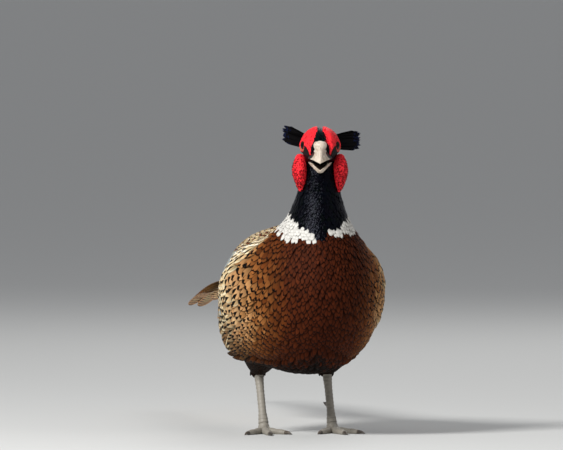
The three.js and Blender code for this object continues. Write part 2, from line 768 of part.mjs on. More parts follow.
function claw(toe, side) {
  const line = toeLine(toe, side);
  const radius = toe.radii[1] * 0.8;
  const point = (s, height) => {
    const at = line.clone().multiplyScalar(toe.length + GAP + toe.claw * s);
    return at.setZ(toe.radii[1] - SOLE + height);
  };
  const points = [point(0, 0), point(0.35, 0.3), point(0.7, 0)];
  const horn = rod(points, [radius, radius * 0.8, radius * 0.45], 7, { last: point(1, -1.3) });
  return largest(horn.subtract(joined([ground, toeRod(toe, side, GAP)])));
}

// The scene graph. Each node's mesh has its own origin, at the place given for it in its group.

const PAINTS = {
  chestnut: { color: 0x7a3c18, roughness: 0.7 },
  black: { color: 0x0d0e14, roughness: 0.45 },
  dark: { color: 0x2a1c12, roughness: 0.7 },
  wing: { color: 0xa07a50, roughness: 0.75 },
  tail: { color: 0x9c7c4e, roughness: 0.75 },
  red: { color: 0xd8202c, roughness: 0.55 },
  horn: { color: 0xcdbfa6, roughness: 0.45 },
  claw: { color: 0x3a322a, roughness: 0.45 },
  eye: { color: 0x3a1a08, roughness: 0.1 },
  leg: { color: 0x8b8378, roughness: 0.6 },
};

const bird = new THREE.Group();

function node(group, name, paint, made, origin) {
  const geometry = geometryOf(made.translate([-origin.x, -origin.y, -origin.z]));
  const material = new THREE.MeshStandardMaterial({ ...PAINTS[paint], metalness: 0 });
  const mesh = new THREE.Mesh(geometry, material);
  mesh.name = name;
  mesh.position.copy(origin);
  group.add(mesh);
}

const at = (x, y, z) => new THREE.Vector3(x, y, z);

node(bird, "torso", "chestnut", torso, bodyFrame(10).middle);
const headInBody = skull(GAP).transform(headPlace.elements);
node(bird, "neck", "black", largest(neckWhole.subtract(headInBody)), bodyFrame(3).middle);
node(bird, "tail", "tail", tail(), TAIL_ROOT);

const head = new THREE.Group();
head.position.copy(HEAD_AT);
head.rotation.set(HEAD_PITCH, 0, HEAD_YAW, "ZYX");
bird.add(head);
node(head, "head", "black", headWhole(), at(0, 0, 0));
node(head, "bill_upper", "horn", upperBill(), at(0, UPPER_BILL[0][0], UPPER_BILL[0][3]));
node(head, "bill_lower", "horn", lowerBill(), at(0, LOWER_BILL[0][0], LOWER_BILL[0][2]));

for (const [name, side] of Object.entries(SIDES)) {
  const eyePlace = at(side * EYE.x, EYE.y, EYE.z);
  node(bird, `wing_${name}`, "wing", wing(side), onBody(side, WING.start, 20 * DEG));
  node(head, `eye_${name}`, "eye", eyeball(side), eyePlace);
  node(head, `comb_${name}`, "red", comb(side), eyePlace);
  node(head, `wattle_${name}`, "red", wattle(side), at(side * WATTLE.x, WATTLE.y, WATTLE.z));
  node(head, `ear_tuft_${name}`, "black", earTuft(name), at(side * 13, 15, 2.5));

  const leg = new THREE.Group();
  leg.position.set(side * LEG_APART, FOOT_Y, 0);
  bird.add(leg);
  const bodyInLeg = torsoRoom.translate([-side * LEG_APART, -FOOT_Y, 0]);
  node(leg, `thigh_${name}`, "dark", largest(thigh().subtract(bodyInLeg)), THIGH_TOP);
  node(leg, `shank_${name}`, "leg", largest(shank().subtract(thigh(GAP))), ANKLE);
  node(leg, `spur_${name}`, "claw", spur(side), spurLine(side, 0));
  node(leg, `foot_${name}`, "leg", foot(side), FOOT_HUB);
  TOES.forEach((toe, i) => {
    const toeEnd = toeLine(toe, side).multiplyScalar(toe.length);
    node(leg, `claw_${name}_${i + 1}`, "claw", claw(toe, side), toeEnd);
  });
}

// The part's origin is on the ground, under the middle of its bounding box.
bird.updateMatrixWorld(true);
const box = new THREE.Box3().setFromObject(bird, true);
const middle = box.getCenter(new THREE.Vector3());
bird.position.set(-middle.x, -middle.y, -box.min.z);

export default bird;
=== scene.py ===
import math

import bpy
import numpy as np
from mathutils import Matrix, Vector
from mathutils.bvhtree import BVHTree
from mathutils.kdtree import KDTree


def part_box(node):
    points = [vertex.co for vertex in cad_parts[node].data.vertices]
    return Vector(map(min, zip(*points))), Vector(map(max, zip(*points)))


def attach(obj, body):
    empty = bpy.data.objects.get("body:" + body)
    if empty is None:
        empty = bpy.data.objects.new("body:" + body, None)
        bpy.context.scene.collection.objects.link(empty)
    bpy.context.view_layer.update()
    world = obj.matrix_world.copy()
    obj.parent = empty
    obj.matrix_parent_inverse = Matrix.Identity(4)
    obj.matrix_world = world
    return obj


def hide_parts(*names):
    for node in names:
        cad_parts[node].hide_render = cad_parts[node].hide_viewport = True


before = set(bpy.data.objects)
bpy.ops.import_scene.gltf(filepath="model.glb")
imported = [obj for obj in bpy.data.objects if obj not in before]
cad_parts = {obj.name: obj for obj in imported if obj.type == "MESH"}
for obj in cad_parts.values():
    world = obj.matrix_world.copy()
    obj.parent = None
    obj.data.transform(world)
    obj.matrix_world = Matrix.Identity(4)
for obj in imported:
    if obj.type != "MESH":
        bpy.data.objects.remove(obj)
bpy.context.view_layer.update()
rng = np.random.default_rng(7)

# Numbers

MM = 0.001
SIDES = {"right": -1, "left": 1}


def smooth(x):
    c = np.clip(x, 0, 1)
    return c * c * (3 - 2 * c)


def mix(a, b, s):
    return a + (b - a) * s


def ramp(x, stops, values):
    """Straight lines between stops. The values are numbers or rows of numbers."""
    values = np.asarray(values, float)
    if values.ndim == 1:
        return np.interp(x, stops, values)
    return np.stack([np.interp(x, stops, column) for column in values.T], -1)


def between(table, t):
    """The rows of a table at places between them, by Catmull-Rom."""
    table = np.asarray(table, float)
    i = np.clip(np.floor(t).astype(int), 0, len(table) - 2)
    u = (t - i)[..., None]
    p, q, r, s = (table[np.clip(i + k, 0, len(table) - 1)] for k in (-1, 0, 1, 2))
    return q + 0.5 * u * (r - p + u * (2 * p - 5 * q + 4 * r - s + u * (3 * (q - r) + s - p)))


def unit(v):
    return v / np.maximum(np.linalg.norm(v, axis=-1, keepdims=True), 1e-9)


def stacked(*parts):
    """Arrays and numbers side by side, as the last axis of one array."""
    return np.stack(np.broadcast_arrays(*parts), -1)


def circle(count):
    return np.linspace(0, 2 * np.pi, count, endpoint=False)


def uneven(size, share):
    """Factors round 1, for things that differ a little."""
    return 1 + share * rng.normal(size=size)


def srgb(code):
    """A colour written as six hexadecimal digits, as linear light."""
    c = np.array([int(code[i : i + 2], 16) for i in (0, 2, 4)]) / 255
    return np.where(c <= 0.04045, c / 12.92, ((c + 0.055) / 1.055) ** 2.4)


# Sizes of the body, the same as in the solids

# Stations of the spine: y, z, tilt in degrees, half width, depth to the breast and depth to the back
STATIONS = [
    [-71, 287, 76, 11, 10, 13],
    [-72, 272, 79, 14.5, 17, 16.5],
    [-70, 256, 83, 17.5, 20, 18.5],
    [-67, 242, 85, 20.5, 23, 21.5],
    [-64, 228, 84, 25, 30, 26],
    [-60, 214, 78, 31, 40, 30],
    [-53, 200, 68, 41, 56, 34],
    [-42, 184, 54, 54, 78, 38],
    [-25, 168, 38, 67, 92, 48],
    [-3, 153, 22, 75, 90, 58],
    [22, 144, 10, 76, 79, 64],
    [55, 141, 3, 70, 71, 63],
    [88, 142, 0, 60, 58, 54],
    [118, 144, 1, 49, 44, 42],
    [142, 146, 2, 37, 33, 33],
    [160, 147, 3, 28, 25, 25],
    [184, 145.5, 4, 23, 17, 18],
    [214, 143.5, 4, 20, 12, 12],
]
BODY_END = len(STATIONS) - 1
# Swelling of the flanks over the thighs: its share, its station and angle, and its reach in both
FLANKS = {"swell": 0.26, "station": 11.5, "angle": -40, "stations": 1.4, "degrees": 20}

HEAD_AT = np.array([-1.3, -78, 290])
HEAD_PITCH = math.radians(2)
HEAD_YAW = math.radians(-12)
# Stations of the skull, from the nape forward: y, z, half width, height over and depth under
SKULL = [
    [26, 0, 7, 7, 8],
    [22, 0, 11.5, 11.5, 13],
    [15, 0, 15.2, 15, 17],
    [6, -0.5, 17, 17, 19],
    [-3, -1, 17, 17.2, 20],
    [-11, -1.5, 15, 15.6, 20],
    [-18, -2, 11.5, 12, 17.5],
    [-23, -2.5, 9, 8, 13.5],
]
SKULL_END = len(SKULL) - 1
# Two more round the base of the bill, for the feathers only
FACE = SKULL + [[-24.8, -2.5, 6.2, 5.4, 10.5], [-25.4, -2.5, 3, 2.5, 6]]
EYE = np.array([13, -4, 0.5])
EYE_RADIUS = 6.2
EYE_FORWARD = math.radians(27)
# Edge of the comb's red from the side: y and z
COMB_OUTLINE = [
    (-27, -10.5), (-27, 3), (-22, 10), (-14, 17), (-6, 24), (9, 25),
    (15, 12), (15, 1), (9, -4.8), (-4, -5.6), (-15, -5.8), (-20, -10.2),
]  # fmt: skip
# The dark stripe between the combs: heights, and half its width there
STRIPE = ([-14, -1, 5, 15, 30], [8.6, 7.6, 5, 2.7, 2.7])
# Dark skin between eye and bill, where the red ends: heights, and half the width of the red
LORE = ([-12, -7.7, -4.7, -1.7, 0.5, 3], [8.5, 10.4, 11.2, 12.8, 14.5, 40])
# Further back than this the red goes on to the eye.
LORE_END = -14
# The cheek's bare skin: middle and radii
WATTLE = np.array([19.8, 1.5, -27.5])
WATTLE_SIZE = np.array([7.4, 13.5, 18.6])
# Points nearer to the middle of the head than this count as far outside the cheek.
CHEEK_INNER = 8
FAR_OUTSIDE = -9

# The lower bill: distances forward, and there the half width, the cutting edge and the keel
LOWER_BILL = (
    [16, 25, 33, 40, 46],
    [(11.8, -15.2, -20), (9.9, -17, -22.2), (7.6, -19.2, -24.2), (4.8, -21.2, -25.2), (0.5, -23, -24)],
)

TAIL_LENGTH = 470
TAIL_SHORTEST = 0.27
TAIL_PAIRS = 9
TAIL_DROOP = math.radians(5.4)
TAIL_ARCH = 10
TAIL_ROOF = 200
TAIL_SWAY = 19
TAIL_ROOT_STATION = 15.6

LEG_AT = np.array([35, 33, 0])
FOOT_HUB = np.array([0, 0, 8.5])
ANKLE = np.array([-0.5, 24, 64])
THIGH_BENDS = np.array([[1, -12, 106], [0, 10, 84], [-0.5, 24, 62]])
THIGH_SHARES = [0, 0.3, 0.55, 0.75, 0.9, 1]
THIGH_RADII = [25, 25, 20.5, 15, 10.4, 6.4]
# Toes: heading in degrees outward from straight ahead, length, radius at both ends and length of the claw
TOES = [(4, 44, 3.9, 2.5, 11), (-33, 31, 3.7, 2.4, 9), (38, 34, 3.7, 2.4, 9), (186, 12.5, 2.9, 2.1, 7.5)]
SOLE = 0.7


# Surfaces. Each takes arrays of two coordinates and a height over the surface, and gives points.


def elevation(a):
    """Degrees up from the side: -90 at the breast, 90 on the back."""
    return np.degrees(np.arctan2(np.sin(a), np.abs(np.cos(a))))


def body(t, a, h=0):
    """Body and neck: the station, and the angle round it from the left side up."""
    y, z, tilt, width, breast, back = np.moveaxis(between(STATIONS, t), -1, 0)
    along = (t - FLANKS["station"]) / FLANKS["stations"]
    round_it = (elevation(a) - FLANKS["angle"]) / FLANKS["degrees"]
    swell = 1 + FLANKS["swell"] * np.exp(-(along**2) - round_it**2)
    out = (np.where(np.sin(a) >= 0, back, breast) * swell + h) * np.sin(a)
    lean = np.radians(tilt)
    return stacked((width * swell + h) * np.cos(a), y + out * np.sin(lean), z + out * np.cos(lean))


def turned(angle, axis):
    c, s = math.cos(angle), math.sin(angle)
    m = np.eye(3)
    i, j = [(1, 2), (2, 0), (0, 1)][axis]
    m[i, i] = m[j, j] = c
    m[j, i] = s
    m[i, j] = -s
    return m


HEAD_TURN = turned(HEAD_YAW, 2) @ turned(HEAD_PITCH, 0)


def from_head(p):
    return p @ HEAD_TURN.T + HEAD_AT


def to_head(p):
    return (p - HEAD_AT) @ HEAD_TURN


def skull(t, a, h=0):
    y, z, width, over, under = np.moveaxis(between(FACE, t), -1, 0)
    deep = np.where(np.sin(a) >= 0, over, under) + h
    return from_head(stacked((width + h) * np.cos(a), y, z + deep * np.sin(a)))


TAIL_ROOT = between(STATIONS, np.array(TAIL_ROOT_STATION))[:2]


def tail(back, across, h=0):
    """The tail's roof: distance back along it, distance across and height over it."""
    share = np.maximum(0, back / TAIL_LENGTH)
    x = across + TAIL_SWAY * share**1.5
    y = TAIL_ROOT[0] + back * math.cos(TAIL_DROOP)
    fall = across**2 / TAIL_ROOF + back * math.sin(TAIL_DROOP)
    return stacked(x, y, TAIL_ROOT[1] + h + 4 * TAIL_ARCH * share * (1 - share) - fall)


def on_leg(p, side):
    return p + LEG_AT * [side, 1, 1]


def thigh(side):
    """The thigh as a surface: share of the way down, and the angle round it."""

    def surface(s, a, h=0):
        p, q, r = THIGH_BENDS
        s1 = np.asarray(s)[..., None]
        middle = mix(mix(p, q, s1), mix(q, r, s1), s1)
        along = unit(mix(q - p, r - q, s1))
        across = unit(np.cross([1, 0, 0], along))
        radius = (np.interp(s, THIGH_SHARES, THIGH_RADII) + h)[..., None]
        ring = across * np.cos(a)[..., None] + np.cross(along, across) * np.sin(a)[..., None]
        return on_leg(middle + radius * ring, side)

    return surface


# The eyes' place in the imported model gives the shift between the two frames.
EYE_MIDDLE = np.mean([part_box(f"eye_{name}")[k] for name in SIDES for k in (0, 1)], axis=0)
SHIFT = EYE_MIDDLE - from_head(EYE * [0, 1, 1]) * MM


def to_row(p):
    return p * MM + SHIFT


def from_row(p):
    return (p - SHIFT) / MM


# Meshes


def add_object(name, data):
    made = bpy.data.objects.new(name, data)
    bpy.context.scene.collection.objects.link(made)
    return made


def make_piece(name, points, faces, material, replaces, data, uv=None):
    """A piece from points in millimetres and faces of one size. data holds three numbers a point."""
    mesh = bpy.data.meshes.new(name)
    mesh.vertices.add(len(points))
    mesh.vertices.foreach_set("co", to_row(points).astype(np.float32).ravel())
    mesh.loops.add(faces.size)
    mesh.loops.foreach_set("vertex_index", faces.astype(np.int32).ravel())
    mesh.polygons.add(len(faces))
    mesh.polygons.foreach_set("loop_start", np.arange(len(faces), dtype=np.int32) * faces.shape[1])
    mesh.polygons.foreach_set("use_smooth", np.ones(len(faces), bool))
    mesh.update(calc_edges=True)
    mesh.validate()
    for key, values in data.items():
        layer = mesh.attributes.new(key, "FLOAT_VECTOR", "POINT")
        layer.data.foreach_set("vector", np.asarray(values, np.float32).ravel())
    if uv is not None:
        layer = mesh.uv_layers.new(name="OFBake")
        layer.data.foreach_set("uv", np.asarray(uv[faces.ravel()], np.float32).ravel())
    mesh.materials.append(material)
    piece = add_object(name, mesh)
    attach(piece, "root")
    if replaces:
        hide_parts(*replaces)
    return piece


def grid_faces(rows, columns, closed=True):
    """Faces of a grid of points whose columns go round."""
    k = np.arange(columns if closed else columns - 1)
    r = np.arange(rows - 1)[:, None] * columns
    n = (k + 1) % columns
    return np.stack([r + k, r + n, r + columns + n, r + columns + k], -1).reshape(-1, 4)


def joined(parts):
    """One mesh from several: points and faces."""
    start = np.cumsum([0] + [len(points) for points, _ in parts])
    faces = [faces + first for (_, faces), first in zip(parts, start)]
    return np.concatenate([points for points, _ in parts]), np.concatenate(faces)


def tube(surface, u, around):
    """A closed skin over a surface that goes round, between the first and the last of u."""
    a = np.linspace(-np.pi, np.pi, around, endpoint=False)
    rings = surface(*np.meshgrid(u, a, indexing="ij"))
    rings = np.concatenate([rings[:1] * 0 + rings[0].mean(0), rings, rings[:1] * 0 + rings[-1].mean(0)])
    return rings.reshape(-1, 3), grid_faces(len(rings), around)


# Skins made anew from small cubes: the cube's edge, and the rounds of smoothing
REMESH = {"face": (0.42, 36), "body": (2.6, 4), "bill_upper": (0.22, 36), "bill_lower": (0.22, 20)}


def remeshed(parts, kind):
    """Joins closed skins into one, with even faces, and smooths it: points, faces and normals."""
    first = np.cumsum([0] + [len(points) for points, _ in parts])
    corners = [face for (_, faces), start in zip(parts, first) for face in (faces + start).tolist()]
    mesh = bpy.data.meshes.new("remesh")
    mesh.from_pydata(np.concatenate([points for points, _ in parts]).tolist(), [], corners)
    mesh.validate()
    work = add_object("remesh", mesh)
    change = work.modifiers.new("remesh", "REMESH")
    change.mode = "VOXEL"
    relax = work.modifiers.new("smooth", "SMOOTH")
    change.voxel_size, relax.iterations = REMESH[kind]
    made = bpy.data.meshes.new_from_object(work.evaluated_get(bpy.context.evaluated_depsgraph_get()))
    bpy.data.objects.remove(work)
    points, normals = (np.array([getattr(v, key) for v in made.vertices]) for key in ("co", "normal"))
    return points, np.array([face.vertices[:] for face in made.polygons]), normals


def node_skin(name):
    """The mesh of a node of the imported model: points in millimetres and triangles."""
    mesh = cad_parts[name].data
    mesh.calc_loop_triangles()
    points = np.array([v.co for v in mesh.vertices])
    faces = np.array([t.vertices for t in mesh.loop_triangles])
    return from_row(points), faces


# Feathers


def leaf_faces(rows, columns):
    """Faces of one feather: its upper side, and its lower side between two lines of points."""
    upper = grid_faces(rows, columns, closed=False)
    first = rows * columns
    r = first + 2 * np.arange(rows - 1)
    lower = np.stack([r, r + 2, r + 3, r + 1], -1)
    return np.concatenate([upper, lower])


def vanes(surface, root, tip, half, lift, *, outline, colours, place, rows=6, columns=5,
          arch=0.12, slope=0.0, bend=None, ragged=0.0):
    """A batch of feathers on a surface, each from its root to its tip, written as the surface's coordinates.
    half is half the width, lift the height at root and tip, slope the fall for each millimetre across."""
    count = len(root)
    # Rows lie closer together towards the tip, where the outline turns.
    s = (1 - (1 - np.linspace(0, 1, rows)) ** 1.5)[None, :]
    way = s if bend is None else bend(s)
    u = mix(root[:, :1], tip[:, :1], s)
    v = mix(root[:, 1:], tip[:, 1:], way)
    e = 1e-3 * np.maximum(1, np.abs(root).max(0) / 50)
    per_u = np.linalg.norm(surface(u + e[0], v) - surface(u - e[0], v), axis=-1) / (2 * e[0])
    per_v = np.linalg.norm(surface(u, v + e[1]) - surface(u, v - e[1]), axis=-1) / (2 * e[1])
    run = np.gradient(u, axis=1) * per_u
    side = np.gradient(v, axis=1) * per_v
    size = np.maximum(np.hypot(run, side), 1e-9)
    run, side = run / size, side / size
    c = np.linspace(-1, 1, columns)[None, None, :]
    wide = (half[:, None] * outline(s))[..., None]
    across = wide * c
    u = u[..., None] - (side / per_u)[..., None] * across
    v = v[..., None] + (run / per_v)[..., None] * across
    low, high = (np.broadcast_to(x, count)[:, None] for x in lift)
    h = mix(low, high, smooth(s * 1.1))[..., None] - slope * across
    h = h + arch * wide * (1 - c**2) * (1 - s**4)[..., None]
    if ragged:
        tear = ragged * rng.normal(size=(count, 1, columns)) * smooth((s - 0.7) / 0.3)[..., None]
        tear[:, :, [0, -1]] = 0
        u = u + tear * (tip[:, :1] - root[:, :1])[..., None]
    upper = surface(u, v, h)
    lower = upper[:, :, [0, -1]]
    points = np.concatenate([upper.reshape(count, -1, 3), lower.reshape(count, -1, 3)], 1)
    faces = leaf_faces(rows, columns)
    i = (rows // 2) * columns + columns // 2
    normal = np.cross(points[:, i + columns] - points[:, i], points[:, i + 1] - points[:, i])
    middle = [x[:, rows // 2, columns // 2] for x in (u, v, h)]
    out = surface(middle[0], middle[1], middle[2] + 1) - surface(*middle)
    if (normal * out).sum() > 0:
        faces = faces[:, ::-1]
    flat = stacked(c, s[..., None], rng.random((count, 1, 1)))
    flat = np.concatenate([flat.reshape(count, -1, 3), flat[:, :, [0, -1]].reshape(count, -1, 3)], 1)
    return {"points": points, "faces": faces, "vane": flat, "colours": colours, "place": place}


# Size of each feather's patch on the bake map
BAKE_PATCH = 0.003


def coat(name, batches, material, replaces=()):
    """One piece from batches of feathers. Each has a patch on the bake map, at its root's place."""
    points, faces, uv, data = [], [], [], {}
    first = 0
    for batch in batches:
        count, size = batch["points"].shape[:2]
        points.append(batch["points"].reshape(-1, 3))
        faces.append((batch["faces"][None] + first + size * np.arange(count)[:, None, None]).reshape(-1, 4))
        first += count * size
        data.setdefault("vane", []).append(batch["vane"].reshape(-1, 3))
        for key, values in batch["colours"].items():
            data.setdefault(key, []).append(np.repeat(values, size, axis=0))
        patch = (batch["vane"][..., :2] * [0.5, 1] - [0, 0.5]) * BAKE_PATCH
        uv.append((batch["place"][:, None] + patch).reshape(-1, 2))
    points, faces, uv = (np.concatenate(x) for x in (points, faces, uv))
    data = {key: np.concatenate(values) for key, values in data.items()}
    make_piece(name, points, faces, material, replaces, data, uv)


def spread_out(a, b):
    """Places on the bake map from two arrays of numbers between 0 and 1, kept off its edge."""
    return stacked(a, b) * 0.98 + 0.01


# How far roots stray from even places in their row, as a share of the distance between them
ROOT_JITTER = 0.07


def shingle(surface, u_range, v_range, size, aspect=1.1):
    """Roots of feathers in staggered rows over a surface, at distances given by size(u, v)."""
    u, v = np.linspace(*u_range, 200), np.linspace(*v_range, 241)
    grid = np.meshgrid(u, v, indexing="ij")
    p = surface(*grid)
    gap = size(*grid)
    step = np.linalg.norm(np.diff(p, axis=0), axis=-1) / ((gap[1:] + gap[:-1]) / 2)
    rows = np.vstack([np.zeros(len(v)), np.cumsum(step, axis=0)])
    wanted = np.arange(int(rows.max())) + 0.5
    lines = np.stack([np.interp(wanted, rows[:, k], u, right=np.nan) for k in range(len(v))], 1)
    roots = []
    for i, line in enumerate(lines):
        whole = np.where(np.isnan(line), u[-1], line)
        here = ~np.isnan(line)
        p = surface(whole, v)
        gap = size(whole, v) * aspect
        # Where a row slants, it lies closer to the next one, so only its run across the lie counts.
        lie = unit(surface(whole + 1e-3, v) - p)
        run = np.linalg.norm(np.cross(np.diff(p, axis=0), lie[1:]), axis=-1) / ((gap[1:] + gap[:-1]) / 2)
        run = np.concatenate([[0], np.cumsum(np.where(here[1:] & here[:-1], run, 0))])
        count = round(run[-1])
        if count < 1:
            continue
        places = np.arange(count) + 0.25 + 0.5 * (i % 2) + ROOT_JITTER * rng.normal(size=count)
        at = np.interp(places * run[-1] / count, run, v)
        roots.append(stacked(np.interp(at, v, whole), at))
    return np.concatenate(roots)


def scale_of(surface, root):
    """Millimetres for each unit of the two coordinates, at each root."""
    u, v = root.T
    e = 1e-3
    along = surface(u + e, v) - surface(u - e, v)
    across = surface(u, v + e) - surface(u, v - e)
    return stacked(np.linalg.norm(along, axis=-1), np.linalg.norm(across, axis=-1)) / (2 * e)


def lay(surface, root, length, half, lift, heading=0.0, spread=0.1, **more):
    """Feathers of given lengths from their roots, along the first coordinate, turned by heading."""
    angle = heading + spread * rng.normal(size=len(root))
    way = stacked(np.cos(angle), np.sin(angle)) * length[:, None]
    return vanes(surface, root, root + way / scale_of(surface, root), half, lift, **more)


def tip_shape(full, turn, reach, end, start=0.5):
    """An outline: the share of the length where it is full, where the tip starts to round off and over what
    share it does, the square of the width left at the end, and the width at the start."""

    def outline(s):
        tip = np.sqrt(np.maximum(end, 1 - np.maximum(0, (s - turn) / reach) ** 2))
        return mix(start, 1, smooth(s / full)) * tip

    return outline


round_tip = tip_shape(0.55, 0.6, 0.41, 0.02)
long_tip = tip_shape(0.4, 0.35, 0.66, 0.03)
blunt_tip = tip_shape(0.5, 0.88, 0.122, 0.05)
quill_tip = tip_shape(0.25, 0.9, 0.101, 0.02, start=0.4)


# Colours of the plumage

BLACK = srgb("0b0908")
DARK = srgb("1c110c")
CHESTNUT = srgb("84401f")
BUFF = srgb("dcc49a")
WHITE = srgb("d2cfc8")
RUST = srgb("8a4322")
SLATE = srgb("98a1a1")
SAGE = srgb("7d8a78")
MOSS = srgb("a0a68c")
BROWN = srgb("6d553d")
PURPLE = srgb("35305c")
BLUE = srgb("1f3a63")
GREEN = srgb("12453c")

# Feathers round the body: degrees from the breast, colours of the middle and the fringe, and the shares
# that are black tip, fringe and shaft. A shaft below 0 means a black line inside the fringe.
ROUND_BODY = [
    (0, "411a0a", "240e08", 0.06, 0.2, 0),
    (30, "4a200c", "240e08", 0.07, 0.2, 0),
    (46, "5d3012", "26120a", 0.13, 0.18, 0),
    (57, "825027", "1e0f08", 0.22, 0.16, 0),
    (65, "a57648", "1e1009", 0.3, 0.15, 0),
    (72, "b88c60", "75532f", 0.42, 0.13, 0),
    (81, "ccb184", "e0cfa8", 0.5, 0.34, 0),
    (98, "d6be94", "ece0c8", 0.54, 0.44, 0),
    (112, "d8c094", "ece0c8", 0.48, 0.42, 0),
    (124, "d8c096", "e6dabe", 0.36, 0.34, -0.08),
    (138, "cdb68c", "6e3a1e", 0.04, 0.28, -0.22),
    (180, "b0905f", "66341c", 0.0, 0.28, -0.2),
]  # fmt: skip


# Distance of a feather from the middle of the body, and the degrees in the table above for its colours
ZONES = ([0, 26, 40, 54, 66, 74, 80], [0, 24, 42, 58, 71, 80, 90])


def round_body(r):
    """Ground, fringe and marking of the feathers at a number of degrees from the breast."""
    stops = [row[0] for row in ROUND_BODY]
    ground, fringe = (ramp(r, stops, [srgb(row[k]) for row in ROUND_BODY]) for k in (1, 2))
    return ground, fringe, ramp(r, stops, [row[3:] for row in ROUND_BODY])


def from_breast(a):
    """Degrees round the body from the middle of the breast: 90 at the side, 180 on the back."""
    return np.abs((np.degrees(a) + 270) % 360 - 180)


def blend(a, b, s):
    return mix(a, b, np.clip(s, 0, 1)[:, None])


def varied(colour, amount):
    return colour * uneven((len(colour), 1), amount)


def colouring(ground, fringe, mark, marking, amounts):
    """What the feathers of a batch carry: colours of the middle, the fringe and the marks, and how wide
    these are. amounts say how much the first two colours differ from feather to feather."""
    ground, fringe = (varied(colour, amount) for colour, amount in zip((ground, fringe), amounts))
    return {"ground": ground, "fringe": fringe, "mark": mark + 0 * ground, "marking": marking}


# Where the dark belly starts: degrees from the breast, and the station there
BELLY = ([0, 20, 36, 54], [7.9, 8.4, 9.6, 11.6])


def body_colours(t, a):
    """Colours of the body's feathers at a station and an angle."""
    r = from_breast(a)
    # The zones of colour run straight back along the body, so they go by the distance to the side.
    zone = np.interp(np.abs(body(t, a)[:, 0]), *ZONES)
    zone = mix(zone, r, smooth((r - 88) / 42)) + 3 * rng.normal(size=len(r))
    ground, fringe, marking = round_body(zone)
    # Low on the front flank the ground is painted darker by half, as painted shade, and the black tips reach
    # further.
    low = smooth((t - 8.8) / 1.2) * smooth((86 - r) / 16) * smooth((zone - 46) / 10)
    ground = ground * (1 - 0.5 * low)[:, None]
    marking[:, 0] += 0.15 * low
    belly = smooth((t - ramp(r, *BELLY) + 0.2 * rng.normal(size=len(r))) / 0.7) * smooth((58 - r) / 14)
    back = smooth((t - 9.2) / 1.2) * smooth((r - 108) / 14)
    sides = smooth((t - 12) / 1.5) * smooth((r - 40) / 20) * smooth((120 - r) / 20)
    rump = blend(SAGE + 0 * ground, RUST, smooth((135 - r) / 18))
    ground = blend(blend(blend(ground, DARK, belly), rump, back), RUST, sides)
    fringe = blend(blend(blend(fringe, BLACK, belly), MOSS, back), CHESTNUT, sides)
    marking = blend(blend(marking, [0.1, 0.3, 0.0], belly), [0.0, 0.35, 0.0], back)
    marking[:, 0] *= uneven(len(t), 0.12)
    return colouring(ground, fringe, BLACK, marking, (0.14, 0.1))


def plain_colours(count, ground, fringe=None, mark=BLACK, marking=(0, 0, 0), amount=0.12):
    """Colours of feathers that are all of one kind."""
    full = np.ones((count, 1))
    fringe = full * (ground if fringe is None else fringe)
    return colouring(full * ground, fringe, mark, full * marking, (amount, amount))


# How little of these hues shows in the black
GLOSS_DEPTH = 0.014


def gloss_colours(count):
    """Near black, with a little purple, blue and green in its sheen."""
    hue = rng.random((count, 1))
    colours = plain_colours(count, BLUE, marking=(0, 0.25, 0))
    colours["ground"] = np.where(hue < 0.5, PURPLE, np.where(hue < 0.8, BLUE, GREEN)) * GLOSS_DEPTH
    colours["fringe"] = colours["ground"] * 1.6
    return colours


# Materials


class Wire:
    """What comes out of a node of a material. Arithmetic with it adds math nodes."""

    def __init__(self, paint, socket):
        self.paint = paint
        self.socket = socket

    def __add__(self, other):
        return self.paint.math("ADD", self, other)

    def __sub__(self, other):
        return self.paint.math("SUBTRACT", self, other)

    def __rsub__(self, other):
        return self.paint.math("SUBTRACT", other, self)

    def __mul__(self, other):
        return self.paint.math("MULTIPLY", self, other)

    def __pow__(self, other):
        return self.paint.math("POWER", self, other)

    def __abs__(self):
        return self.paint.math("ABSOLUTE", self)

    def __lt__(self, other):
        return self.paint.math("LESS_THAN", self, other)


